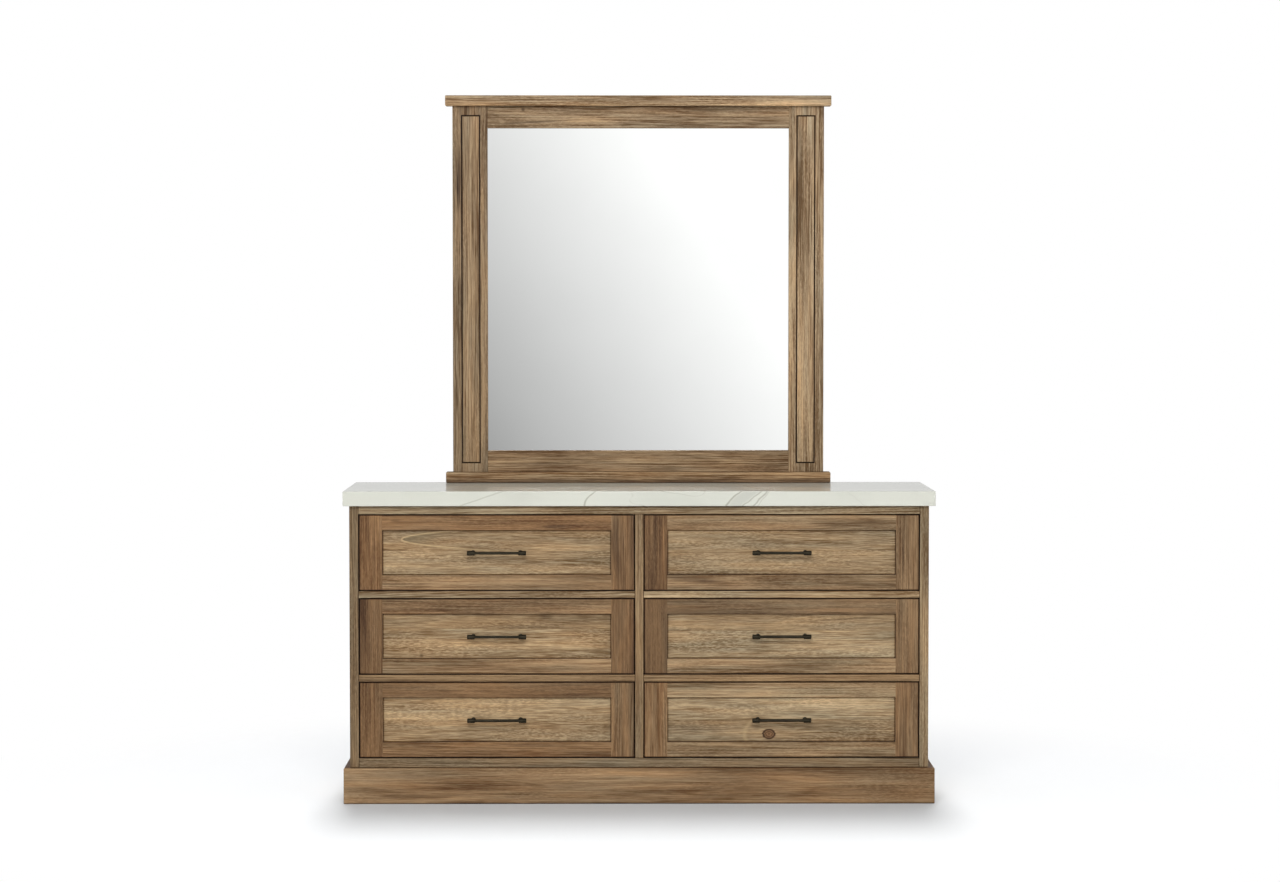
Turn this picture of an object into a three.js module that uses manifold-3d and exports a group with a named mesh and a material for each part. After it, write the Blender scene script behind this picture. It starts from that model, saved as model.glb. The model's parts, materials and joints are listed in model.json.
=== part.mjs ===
// Six-drawer dresser with a stone top and a framed mirror standing on it.
// Millimetres, +Z up, front towards -Y. Lengths along Y are first counted from the stone's front
// face; the whole group is then moved so that its origin lies under the middle of its outer box.

import * as THREE from 'three';
import { mergeVertices } from 'three/addons/utils/BufferGeometryUtils.js';
import Module from 'manifold-3d';

const wasm = await Module();
wasm.setup();

// Fits shared by all pieces
const seatGap = 0.3;
const cutOverrun = 5;
const roundSides = 16;
const roundSteps = 4;

// Stone top
const topWidth = 1600;
const topDepth = 450;
const topThickness = 40;
const topArrisWidth = 2;

// Plinth: boards that carry the body and stand proud of it at the front and sides
const plinthHeight = 97;
const plinthThickness = 32;
const plinthLedge = 16.5;
const plinthRound = 3;
const plinthBackThickness = 20;
const bearerThickness = 32;

// Body
const sideThickness = 24.5;
const dividerThickness = 23;
const railDepth = 60;
const topRailHeight = 22.5;
const middleRailHeight = 19;
const bottomRailHeight = 25.5;
const bottomPanelThickness = 12;
const backPanelThickness = 6;
const stretcherHeight = 60;
const stretcherThickness = 18;

// Drawers
const openingHeight = 208;
const drawerReveal = 3;
const drawerSetback = 1;
const frontThickness = 20;
const frontStileWidth = 61.5;
const frontRailWidth = 40;
const panelRecess = 8;
const panelThickness = 8;
const panelGrooveDepth = 8;
const panelEdgeClearance = 1;
const boxSideClearance = 4;
const boxTopClearance = 40;
const boxRearClearance = 10;
const boxWall = 12;
const boxBottomThickness = 6;

// Centre guide of each drawer, the channel strips under the drawer that straddle it, and its stop
const guideWidth = 40;
const guideRise = 10;
const channelClearance = 1;
const channelStripWidth = 15;
const stopHeight = 18;

// Drawer handle
const handleLength = 160;
const handleProjection = 32;
const handlePostPitch = 128;
const barDiameter = 8;
const collarDiameter = 12.5;
const collarLength = 21;
const collarChamfer = 1;
const postDiameter = 9;
const roseDiameter = 15;
const roseThickness = 3;

// Mirror
const mirrorShelfOverhang = 19.5;
const mirrorShelfDepth = 50;
const mirrorBaseHeight = 30;
const mirrorCapHeight = 29;
const mirrorShelfArrisWidth = 1.5;
const mirrorFrameThickness = 31;
const mirrorStileWidth = 98;
const mirrorTopRailWidth = 61;
const mirrorBottomRailWidth = 60;
const mirrorOpeningWidth = 849;
const mirrorOpeningHeight = 908;
const mirrorLip = 15;
const mirrorRebateWidth = 10;
const glassThickness = 5;
const glassEdgeClearance = 1;
const backingThickness = 5;

// Inlay strip in each mirror stile
const inlayOuterStrip = 24.5;
const inlayInnerStrip = 20.5;
const inlayTopMargin = 25.5;
const inlayBottomMargin = 24.5;
const inlayPocketDepth = 6;
const inlayGroove = 3;

// Upright supports behind the mirror
const supportWidth = 60;
const supportThickness = 18;
const supportLap = 260;
const supportRise = 700;

// Levels
const bodyBottom = plinthHeight + seatGap;
const bottomRailTop = plinthHeight + bottomRailHeight;
const rowPitch = openingHeight + middleRailHeight;
const rowFloors = [0, 1, 2].map((row) => bottomRailTop + row * rowPitch);
const topRailBottom = rowFloors[2] + openingHeight;
const bodyTop = topRailBottom + topRailHeight;
const topBottom = bodyTop + seatGap;
const topTop = topBottom + topThickness;
const bottomPanelTop = bodyBottom + bottomPanelThickness;
const guideDrop = bottomRailTop - bottomPanelTop - seatGap;

// Places across the width
const bodyHalf = topWidth / 2 - plinthLedge;
const sideInner = bodyHalf - sideThickness;
const dividerHalf = dividerThickness / 2;
const openingWidth = sideInner - dividerHalf;
const openingMiddle = (sideInner + dividerHalf) / 2;

// Places from front to back
const bodyFront = plinthLedge;
const railBack = bodyFront + railDepth;
const backPanelFront = topDepth - backPanelThickness;
const stretcherBack = backPanelFront - seatGap;
const stretcherFront = stretcherBack - stretcherThickness;
const drawerFace = bodyFront + drawerSetback;
const panelFace = drawerFace + panelRecess;
const boxFront = drawerFace + frontThickness + seatGap;
const boxBack = stretcherFront - boxRearClearance;
const handleSeat = panelFace - seatGap;
const handleFront = handleSeat - handleProjection;
const supportFront = topDepth + seatGap;
const supportBack = supportFront + supportThickness;

// Places on the mirror
const mirrorBaseBottom = topTop + seatGap;
const mirrorBaseTop = mirrorBaseBottom + mirrorBaseHeight;
const stileBottom = mirrorBaseTop + seatGap;
const mirrorOpeningBottom = stileBottom + mirrorBottomRailWidth;
const mirrorOpeningTop = mirrorOpeningBottom + mirrorOpeningHeight;
const stileTop = mirrorOpeningTop + mirrorTopRailWidth;
const mirrorCapBottom = stileTop + seatGap;
const mirrorCapTop = mirrorCapBottom + mirrorCapHeight;
const stileInner = mirrorOpeningWidth / 2;
const stileOuter = stileInner + mirrorStileWidth;
const frameFront = topDepth - mirrorFrameThickness;
const rebateFront = frameFront + mirrorLip;
const glassFront = rebateFront + seatGap;
const backingFront = glassFront + glassThickness + seatGap;

// Finishes
const finishes = {
  bodyWood: { color: 0x8a7454, roughness: 0.65, metalness: 0 },
  plinthWood: { color: 0x8e7050, roughness: 0.65, metalness: 0 },
  frontFrameWood: { color: 0x8c6a4a, roughness: 0.6, metalness: 0 },
  frontPanelWood: { color: 0xa58c69, roughness: 0.65, metalness: 0 },
  mirrorWood: { color: 0x947a5c, roughness: 0.65, metalness: 0 },
  boxWood: { color: 0xc9ae84, roughness: 0.7, metalness: 0 },
  hiddenWood: { color: 0xb09770, roughness: 0.75, metalness: 0 },
  backingBoard: { color: 0x6f5a44, roughness: 0.85, metalness: 0 },
  stone: { color: 0xd9dad2, roughness: 0.12, metalness: 0 },
  mirrorGlass: { color: 0xf2f4f4, roughness: 0.02, metalness: 1 },
  handleMetal: { color: 0x33302b, roughness: 0.4, metalness: 0.8 },
};

const dresser = new THREE.Group();

// Adds one named piece, with a finish of its own, to a group.
function addPiece(group, name, geometry, finish) {
  const mesh = new THREE.Mesh(geometry, new THREE.MeshStandardMaterial(finish));
  mesh.name = name;
  group.add(mesh);
  return mesh;
}

// Box between two opposite corners.
function block(low, high) {
  const size = high.map((value, axis) => value - low[axis]);
  const middle = high.map((value, axis) => (value + low[axis]) / 2);
  return new THREE.BoxGeometry(...size).translate(...middle);
}

// Block whose long upper and lower edges are taken off by a small arris.
function easedSlab(low, high, arris) {
  const shape = new THREE.Shape();
  shape.moveTo(low[0] + arris, low[1] + arris);
  shape.lineTo(high[0] - arris, low[1] + arris);
  shape.lineTo(high[0] - arris, high[1] - arris);
  shape.lineTo(low[0] + arris, high[1] - arris);
  shape.closePath();
  const slab = new THREE.ExtrudeGeometry(shape, {
    depth: high[2] - low[2] - 2 * arris,
    bevelEnabled: true,
    bevelThickness: arris,
    bevelSize: arris,
    bevelSegments: 1,
  });
  return slab.translate(0, 0, low[2] + arris);
}

// Lower and upper X of what lies between two distances from the middle, on the side -1 or 1.
function spanOnSide(side, inner, outer) {
  return [Math.min(side * inner, side * outer), Math.max(side * inner, side * outer)];
}

// Outline through the given points.
function outline(points) {
  return new THREE.Shape(points.map(([across, up]) => new THREE.Vector2(across, up)));
}

// Upright prism over an outline drawn in plan.
function planPrism(shape, bottom, top) {
  const prism = new THREE.ExtrudeGeometry(shape, { depth: top - bottom, bevelEnabled: false });
  return prism.translate(0, 0, bottom);
}

// Prism over an outline drawn in front-to-back and up, running along X.
function sectionPrism(shape, start, end) {
  const prism = new THREE.ExtrudeGeometry(shape, {
    depth: end - start,
    bevelEnabled: false,
    curveSegments: roundSteps,
  });
  const toSection = new THREE.Matrix4().set(
    0, 0, 1, start,
    1, 0, 0, 0,
    0, 1, 0, 0,
    0, 0, 0, 1,
  );
  return prism.applyMatrix4(toSection);
}

// Closed mesh as a solid that can be joined and cut.
function toSolid(geometry) {
  const bare = geometry.clone();
  bare.deleteAttribute('normal');
  bare.deleteAttribute('uv');
  const merged = mergeVertices(bare);
  return new wasm.Manifold(new wasm.Mesh({
    numProp: 3,
    vertProperties: new Float32Array(merged.attributes.position.array),
    triVerts: new Uint32Array(merged.index.array),
  }));
}

// Solid as a geometry again.
function toGeometry(solid) {
  const mesh = solid.getMesh();
  const geometry = new THREE.BufferGeometry();
  geometry.setAttribute('position', new THREE.BufferAttribute(mesh.vertProperties, 3));
  geometry.setIndex(new THREE.BufferAttribute(mesh.triVerts, 1));
  geometry.computeVertexNormals();
  return geometry;
}

// First geometry with all the cutters taken out of it.
function cut(geometry, cutters) {
  return toGeometry(cutters.reduce((solid, cutter) => solid.subtract(toSolid(cutter)), toSolid(geometry)));
}

// All geometries joined into one body.
function join(geometries) {
  return toGeometry(geometries.map(toSolid).reduce((joined, solid) => joined.add(solid)));
}

// Stone slab over the whole plinth, its back flush with the body.
function addStoneTop() {
  const halfWidth = topWidth / 2;
  const slab = easedSlab([-halfWidth, 0, topBottom], [halfWidth, topDepth, topTop], topArrisWidth);
  addPiece(dresser, 'stone_top', slab, finishes.stone);
}

// Section of a plinth board: its outer top edge is rounded over.
function plinthSection() {
  const shape = new THREE.Shape();
  shape.moveTo(0, 0);
  shape.lineTo(plinthThickness, 0);
  shape.lineTo(plinthThickness, plinthHeight);
  shape.lineTo(plinthRound, plinthHeight);
  shape.absarc(plinthRound, plinthHeight - plinthRound, plinthRound, Math.PI / 2, Math.PI, false);
  shape.closePath();
  return shape;
}

// Front and side boards mitred at the front corners, a back board and a bearer in the middle.
function addPlinth() {
  const halfWidth = topWidth / 2;
  const mitreGap = seatGap / Math.SQRT2;
  const frontProfile = sectionPrism(plinthSection(), -halfWidth, halfWidth);
  const frontPlan = outline([
    [-halfWidth + mitreGap, 0],
    [halfWidth - mitreGap, 0],
    [halfWidth - plinthThickness - mitreGap, plinthThickness],
    [-halfWidth + plinthThickness + mitreGap, plinthThickness],
  ]);
  const frontBlank = toSolid(planPrism(frontPlan, 0, plinthHeight));
  const frontBoard = toSolid(frontProfile).intersect(frontBlank);
  addPiece(dresser, 'plinth_front', toGeometry(frontBoard), finishes.plinthWood);

  for (const [label, side] of [['left', -1], ['right', 1]]) {
    const corners = [
      [halfWidth, mitreGap],
      [halfWidth, topDepth],
      [halfWidth - plinthThickness, topDepth],
      [halfWidth - plinthThickness, plinthThickness + mitreGap],
    ];
    const sidePlan = outline(corners.map(([across, back]) => [side * across, back]));
    const sideBlank = toSolid(planPrism(sidePlan, 0, plinthHeight));
    const profile = sectionPrism(plinthSection(), 0, topDepth).rotateZ(side * Math.PI / 2);
    profile.translate(side * halfWidth, side < 0 ? topDepth : 0, 0);
    const sideBoard = toSolid(profile).intersect(sideBlank);
    addPiece(dresser, `plinth_${label}`, toGeometry(sideBoard), finishes.plinthWood);
  }

  const boardHalf = halfWidth - plinthThickness - seatGap;
  const backFront = topDepth - plinthBackThickness;
  const backBoard = block([-boardHalf, backFront, 0], [boardHalf, topDepth, plinthHeight]);
  addPiece(dresser, 'plinth_back', backBoard, finishes.hiddenWood);

  const bearerHalf = bearerThickness / 2;
  const bearer = block(
    [-bearerHalf, plinthThickness + seatGap, 0],
    [bearerHalf, backFront - seatGap, plinthHeight],
  );
  addPiece(dresser, 'centre_bearer', bearer, finishes.hiddenWood);
}

// Side panels, rails, bottom, back and the centre divider.
function addBody() {
  for (const [label, side] of [['left', -1], ['right', 1]]) {
    const [low, high] = spanOnSide(side, sideInner, bodyHalf);
    const panel = block([low, bodyFront, bodyBottom], [high, topDepth, bodyTop]);
    addPiece(dresser, `side_panel_${label}`, panel, finishes.bodyWood);
  }

  const insideHalf = sideInner - seatGap;
  const topRail = block([-insideHalf, bodyFront, topRailBottom], [insideHalf, railBack, bodyTop]);
  addPiece(dresser, 'top_rail', topRail, finishes.bodyWood);

  const bottomRail = block([-insideHalf, bodyFront, bodyBottom], [insideHalf, railBack, bottomRailTop]);
  addPiece(dresser, 'bottom_rail', bottomRail, finishes.bodyWood);

  const bottomPanel = block(
    [-insideHalf, railBack + seatGap, bodyBottom],
    [insideHalf, backPanelFront - seatGap, bottomPanelTop],
  );
  addPiece(dresser, 'bottom_panel', bottomPanel, finishes.hiddenWood);

  const backPanel = block([-insideHalf, backPanelFront, bodyBottom], [insideHalf, topDepth, bodyTop]);
  addPiece(dresser, 'back_panel', backPanel, finishes.backingBoard);

  const stretcher = block(
    [-insideHalf, stretcherFront, bodyTop - stretcherHeight],
    [insideHalf, stretcherBack, bodyTop],
  );
  addPiece(dresser, 'back_stretcher', stretcher, finishes.hiddenWood);

  const notchBack = railBack + seatGap;
  const dividerBack = backPanelFront - seatGap;
  const dividerOutline = outline([
    [bodyFront, bottomRailTop + seatGap],
    [notchBack, bottomRailTop + seatGap],
    [notchBack, bottomPanelTop + seatGap],
    [dividerBack, bottomPanelTop + seatGap],
    [dividerBack, bodyTop - stretcherHeight - seatGap],
    [stretcherFront - seatGap, bodyTop - stretcherHeight - seatGap],
    [stretcherFront - seatGap, bodyTop],
    [notchBack, bodyTop],
    [notchBack, topRailBottom - seatGap],
    [bodyFront, topRailBottom - seatGap],
  ]);
  const divider = sectionPrism(dividerOutline, -dividerHalf, dividerHalf);
  addPiece(dresser, 'centre_divider', divider, finishes.bodyWood);
}

// Ring of two stiles and two rails, grooved all round inside for the panel.
function drawerFrameGeometry() {
  const halfWidth = openingWidth / 2 - drawerReveal;
  const bottom = drawerReveal;
  const top = openingHeight - drawerReveal;
  const back = drawerFace + frontThickness;
  const sightHalf = halfWidth - frontStileWidth;
  const sightBottom = bottom + frontRailWidth;
  const sightTop = top - frontRailWidth;
  const ring = block([-halfWidth, drawerFace, bottom], [halfWidth, back, top]);
  const sight = block(
    [-sightHalf, drawerFace - cutOverrun, sightBottom],
    [sightHalf, back + cutOverrun, sightTop],
  );
  const groove = block(
    [-sightHalf - panelGrooveDepth, panelFace - seatGap, sightBottom - panelGrooveDepth],
    [sightHalf + panelGrooveDepth, panelFace + panelThickness + seatGap, sightTop + panelGrooveDepth],
  );
  return cut(ring, [sight, groove]);
}

// Flat panel that floats in the groove.
function drawerPanelGeometry() {
  const entry = panelGrooveDepth - panelEdgeClearance;
  const halfWidth = openingWidth / 2 - drawerReveal - frontStileWidth + entry;
  const bottom = drawerReveal + frontRailWidth - entry;
  const top = openingHeight - drawerReveal - frontRailWidth + entry;
  return block([-halfWidth, panelFace, bottom], [halfWidth, panelFace + panelThickness, top]);
}

// Open box with a raised bottom, and two channel strips under it that run on the guide.
function drawerBoxGeometry() {
  const halfWidth = openingWidth / 2 - boxSideClearance;
  const insideHalf = halfWidth - boxWall;
  const boxTop = openingHeight - boxTopClearance;
  const bottomUnderside = guideRise + seatGap;
  const outer = block([-halfWidth, boxFront, seatGap], [halfWidth, boxBack, boxTop]);
  const inside = block(
    [-insideHalf, boxFront + boxWall, bottomUnderside + boxBottomThickness],
    [insideHalf, boxBack - boxWall, boxTop + cutOverrun],
  );
  const underside = block(
    [-insideHalf, boxFront + boxWall, seatGap - cutOverrun],
    [insideHalf, boxBack + cutOverrun, bottomUnderside],
  );
  const stripInner = guideWidth / 2 + channelClearance;
  const stripOuter = stripInner + channelStripWidth;
  const leftStrip = block([-stripOuter, boxFront, seatGap], [-stripInner, boxBack, bottomUnderside]);
  const rightStrip = block([stripInner, boxFront, seatGap], [stripOuter, boxBack, bottomUnderside]);
  return join([cut(outer, [inside, underside]), leftStrip, rightStrip]);
}

// Round bar with a collar at each end; a post and a rose under each collar seat it on the panel.
function drawerHandleGeometry() {
  const halfLength = handleLength / 2;
  const barRadius = barDiameter / 2;
  const collarRadius = collarDiameter / 2;
  const collarInner = halfLength - collarLength;
  const barProfile = [
    [0, -halfLength],
    [collarRadius - collarChamfer, -halfLength],
    [collarRadius, -halfLength + collarChamfer],
    [collarRadius, -collarInner - collarChamfer],
    [collarRadius - collarChamfer, -collarInner],
    [barRadius, -collarInner],
    [barRadius, collarInner],
    [collarRadius - collarChamfer, collarInner],
    [collarRadius, collarInner + collarChamfer],
    [collarRadius, halfLength - collarChamfer],
    [collarRadius - collarChamfer, halfLength],
    [0, halfLength],
  ].map(([radius, along]) => new THREE.Vector2(radius, along));
  const barLine = handleFront + collarRadius;
  const handleHeight = openingHeight / 2;
  const bar = new THREE.LatheGeometry(barProfile, roundSides).rotateZ(-Math.PI / 2);
  bar.translate(0, barLine, handleHeight);
  const pieces = [bar];
  for (const side of [-1, 1]) {
    const postX = side * handlePostPitch / 2;
    const postLength = handleSeat - barLine;
    const post = new THREE.CylinderGeometry(postDiameter / 2, postDiameter / 2, postLength, roundSides);
    pieces.push(post.translate(postX, barLine + postLength / 2, handleHeight));
    const rose = new THREE.CylinderGeometry(roseDiameter / 2, roseDiameter / 2, roseThickness, roundSides);
    pieces.push(rose.translate(postX, handleSeat - roseThickness / 2, handleHeight));
  }
  return join(pieces);
}

// Wooden bar from the front rail to the back panel, on which the drawer's channel runs, with a
// stop at its back end that the shut drawer rests against.
function guideGeometry() {
  const halfWidth = guideWidth / 2;
  const guideBack = backPanelFront - seatGap;
  const bar = block([-halfWidth, railBack + seatGap, -guideDrop], [halfWidth, guideBack, guideRise]);
  const stopTop = guideRise + stopHeight;
  const stop = block([-halfWidth, boxBack + seatGap, -guideDrop], [halfWidth, guideBack, stopTop]);
  return join([bar, stop]);
}

// Six drawers with their guides, and the rails between the rows.
function addDrawers() {
  const frame = drawerFrameGeometry();
  const panel = drawerPanelGeometry();
  const box = drawerBoxGeometry();
  const handle = drawerHandleGeometry();
  const guide = guideGeometry();
  const railHalf = openingWidth / 2 - seatGap;
  const rail = block([-railHalf, bodyFront, -middleRailHeight], [railHalf, railBack, 0]);
  for (const [column, side] of [['left', -1], ['right', 1]]) {
    for (const [row, label] of ['lower', 'middle', 'upper'].entries()) {
      const bay = new THREE.Group();
      bay.position.set(side * openingMiddle, 0, rowFloors[row]);
      dresser.add(bay);
      const name = `${label}_${column}`;
      addPiece(bay, `drawer_${name}_frame`, frame, finishes.frontFrameWood);
      addPiece(bay, `drawer_${name}_panel`, panel, finishes.frontPanelWood);
      addPiece(bay, `drawer_${name}_box`, box, finishes.boxWood);
      addPiece(bay, `drawer_${name}_handle`, handle, finishes.handleMetal);
      addPiece(bay, `guide_${name}`, guide, finishes.hiddenWood);
      if (row > 0) {
        addPiece(bay, `rail_under_${name}`, rail, finishes.bodyWood);
      }
    }
  }
}

// Mirror stile with a rebate behind for the glass and a pocket in front for its inlay.
function mirrorStileGeometry(side) {
  const [stileLow, stileHigh] = spanOnSide(side, stileInner, stileOuter);
  const [rebateLow, rebateHigh] = spanOnSide(side, stileInner - cutOverrun, stileInner + mirrorRebateWidth);
  const [pocketLow, pocketHigh] = spanOnSide(side, stileInner + inlayInnerStrip, stileOuter - inlayOuterStrip);
  const blank = block([stileLow, frameFront, stileBottom], [stileHigh, topDepth, stileTop]);
  const rebate = block(
    [rebateLow, rebateFront, mirrorOpeningBottom - mirrorRebateWidth],
    [rebateHigh, topDepth + cutOverrun, mirrorOpeningTop + mirrorRebateWidth],
  );
  const pocket = block(
    [pocketLow, frameFront - cutOverrun, stileBottom + inlayBottomMargin],
    [pocketHigh, frameFront + inlayPocketDepth, stileTop - inlayTopMargin],
  );
  return cut(blank, [rebate, pocket]);
}

// Thin strip glued in the pocket; the groove left around it shows as a dark line.
function inlayGeometry(side) {
  const [low, high] = spanOnSide(
    side,
    stileInner + inlayInnerStrip + inlayGroove,
    stileOuter - inlayOuterStrip - inlayGroove,
  );
  const back = frameFront + inlayPocketDepth - seatGap;
  const bottom = stileBottom + inlayBottomMargin + inlayGroove;
  const top = stileTop - inlayTopMargin - inlayGroove;
  return block([low, frameFront, bottom], [high, back, top]);
}

// Base, frame, glass, backing, cap and the two supports that hold the mirror to the body.
function addMirror() {
  const shelfHalf = stileOuter + mirrorShelfOverhang;
  const shelfFront = topDepth - mirrorShelfDepth;
  const base = easedSlab(
    [-shelfHalf, shelfFront, mirrorBaseBottom],
    [shelfHalf, topDepth, mirrorBaseTop],
    mirrorShelfArrisWidth,
  );
  addPiece(dresser, 'mirror_base', base, finishes.mirrorWood);
  const cap = easedSlab(
    [-shelfHalf, shelfFront, mirrorCapBottom],
    [shelfHalf, topDepth, mirrorCapTop],
    mirrorShelfArrisWidth,
  );
  addPiece(dresser, 'mirror_cap', cap, finishes.mirrorWood);

  const railHalf = stileInner - seatGap;
  const rebateHalf = railHalf + cutOverrun;
  const bottomRail = cut(
    block([-railHalf, frameFront, stileBottom], [railHalf, topDepth, mirrorOpeningBottom]),
    [block(
      [-rebateHalf, rebateFront, mirrorOpeningBottom - mirrorRebateWidth],
      [rebateHalf, topDepth + cutOverrun, mirrorOpeningBottom + cutOverrun],
    )],
  );
  addPiece(dresser, 'mirror_bottom_rail', bottomRail, finishes.mirrorWood);
  const topRail = cut(
    block([-railHalf, frameFront, mirrorOpeningTop], [railHalf, topDepth, stileTop]),
    [block(
      [-rebateHalf, rebateFront, mirrorOpeningTop - cutOverrun],
      [rebateHalf, topDepth + cutOverrun, mirrorOpeningTop + mirrorRebateWidth],
    )],
  );
  addPiece(dresser, 'mirror_top_rail', topRail, finishes.mirrorWood);

  const sheetEntry = mirrorRebateWidth - glassEdgeClearance;
  const sheetHalf = stileInner + sheetEntry;
  const sheetBottom = mirrorOpeningBottom - sheetEntry;
  const sheetTop = mirrorOpeningTop + sheetEntry;
  const glass = block(
    [-sheetHalf, glassFront, sheetBottom],
    [sheetHalf, glassFront + glassThickness, sheetTop],
  );
  addPiece(dresser, 'mirror_glass', glass, finishes.mirrorGlass);
  const backing = block(
    [-sheetHalf, backingFront, sheetBottom],
    [sheetHalf, backingFront + backingThickness, sheetTop],
  );
  addPiece(dresser, 'mirror_backing', backing, finishes.backingBoard);

  for (const [label, side] of [['left', -1], ['right', 1]]) {
    addPiece(dresser, `mirror_stile_${label}`, mirrorStileGeometry(side), finishes.mirrorWood);
    addPiece(dresser, `mirror_inlay_${label}`, inlayGeometry(side), finishes.mirrorWood);
    const supportMiddle = side * (stileInner + stileOuter) / 2;
    const support = block(
      [supportMiddle - supportWidth / 2, supportFront, bodyTop - supportLap],
      [supportMiddle + supportWidth / 2, supportBack, topTop + supportRise],
    );
    addPiece(dresser, `mirror_support_${label}`, support, finishes.hiddenWood);
  }
}

addPlinth();
addBody();
addDrawers();
addStoneTop();
addMirror();

dresser.position.y = -(Math.min(0, handleFront) + supportBack) / 2;

export default dresser;
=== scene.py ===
import json
import math
from random import Random

import bmesh
import bpy
from bpy.props import FloatProperty, FloatVectorProperty, IntProperty, PointerProperty
from mathutils import Color, Matrix, Vector

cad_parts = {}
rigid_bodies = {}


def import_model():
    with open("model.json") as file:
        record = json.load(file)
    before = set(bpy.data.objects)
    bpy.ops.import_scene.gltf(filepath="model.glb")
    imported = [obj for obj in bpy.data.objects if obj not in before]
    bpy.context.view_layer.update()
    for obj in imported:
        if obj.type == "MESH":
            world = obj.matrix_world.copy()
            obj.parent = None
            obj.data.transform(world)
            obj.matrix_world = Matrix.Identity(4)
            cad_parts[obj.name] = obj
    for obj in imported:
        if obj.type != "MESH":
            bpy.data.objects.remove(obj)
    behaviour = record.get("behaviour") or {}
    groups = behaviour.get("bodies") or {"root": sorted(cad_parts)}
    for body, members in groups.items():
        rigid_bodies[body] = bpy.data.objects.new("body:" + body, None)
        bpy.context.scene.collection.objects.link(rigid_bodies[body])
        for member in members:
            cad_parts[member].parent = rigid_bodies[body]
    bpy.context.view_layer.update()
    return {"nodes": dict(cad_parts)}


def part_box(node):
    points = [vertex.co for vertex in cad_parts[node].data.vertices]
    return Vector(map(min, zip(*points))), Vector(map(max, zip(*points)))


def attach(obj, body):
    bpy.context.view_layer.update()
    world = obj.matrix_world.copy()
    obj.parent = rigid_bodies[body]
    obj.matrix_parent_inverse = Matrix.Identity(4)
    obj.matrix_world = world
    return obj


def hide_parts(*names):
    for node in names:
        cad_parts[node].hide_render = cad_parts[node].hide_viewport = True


bl_info = {
    "name": "Dresser with mirror",
    "version": (1, 0, 0),
    "blender": (4, 5, 0),
    "location": "3D View > Sidebar > Dresser",
    "description": "Builds a dresser with six drawers, a stone top and a framed mirror",
    "category": "Add Mesh",
}

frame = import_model()

SIDES = ("left", "right")
DRAWERS = tuple(f"drawer_{row}_{side}" for row in ("lower", "middle", "upper") for side in SIDES)
CARCASS = "carcass"
X, Y, Z = range(3)
RIGHTWARDS = (1, 0, 0)
BACKWARDS = (0, 1, 0)
UPWARDS = (0, 0, 1)
FULL_TURN = 2 * math.pi
SHARP_ANGLE = math.radians(30)
FLAT_ANGLE = math.radians(1)
# Points this near to a line count as on it.
GRAZE = 0.0001


# Settings.


def seen(red, green, blue):
    """Linear colour of a colour given as screen shares from 0 to 1."""
    return Color((red, green, blue)).from_srgb_to_scene_linear()[:]


def length(name, value, description):
    return FloatProperty(
        name=name, description=description, default=value, min=0.0, unit="LENGTH", precision=4
    )


def angle(name, value, description):
    return FloatProperty(name=name, description=description, default=value, unit="ROTATION")


def share(name, value, description):
    return FloatProperty(name=name, description=description, default=value, min=0.0, soft_max=1.0)


def number(name, value, description, unit="NONE"):
    return FloatProperty(name=name, description=description, default=value, unit=unit)


def quantity(name, value, least, most, description):
    return IntProperty(name=name, description=description, default=value, min=least, max=most)


def colour(name, value, description):
    return FloatVectorProperty(
        name=name, description=description, default=value, subtype="COLOR", min=0.0, max=1.0
    )


class BoardSettings(bpy.types.PropertyGroup):
    edge_round: length("Edge rounding", 0.0012, "Radius on the free edges of a board")
    joint_round: length("Joint rounding", 0.0008, "Radius on board edges that meet in a joint")
    round_segments: quantity("Rounding segments", 2, 1, 6, "Faces across a rounding")
    merge_reach: length("Merge reach", 0.00002, "Corners nearer than this become one")
    groove_entry: length("Groove entry", 0.007, "How far a panel enters its groove")
    # Painted shade: the next five settings place darkening painted into the gaps between boards, onto
    # drawer rims, along panel edges and in inlay grooves, where shade falls.
    gap_shade_start: length("Stain start", 0.0001, "Where the dark stain in a gap starts behind the face")
    gap_shade_reach: length("Stain reach", 0.040, "How far back the dark stain in a gap reaches")
    gap_shade_fade: length("Stain fade", 0.006, "Depth over which the dark stain ends")
    rim_shade_width: length("Rim width", 0.0016, "Width of the stain that spreads onto a drawer front's rim")
    edge_shade_reach: length("Glaze reach", 0.004, "Width of the stain that gathers along a panel's edge")
    stave_count: quantity("Staves", 4, 1, 8, "Boards glued up into a side panel")
    box_wall: length("Box wall", 0.012, "Thickness of a drawer box's sides, front and back")
    box_bottom: length("Box bottom", 0.006, "Thickness of a drawer box's bottom")
    channel_height: length("Channel height", 0.010, "Height of the strips under a drawer's bottom")
    ring_depth_least: length("Nearest heart", 0.035, "Least distance from a board to its tree's heart")
    ring_depth_most: length("Farthest heart", 0.120, "Most distance from a board to its tree's heart")
    heart_spread: length("Heart spread", 0.045, "How far sideways the tree's heart may lie")
    grain_run: length("Grain run", 4.0, "Length of tree that the boards are cut from")
    grain_tilt: angle("Grain tilt", 0.022, "Most lean of a board in its tree")


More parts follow.
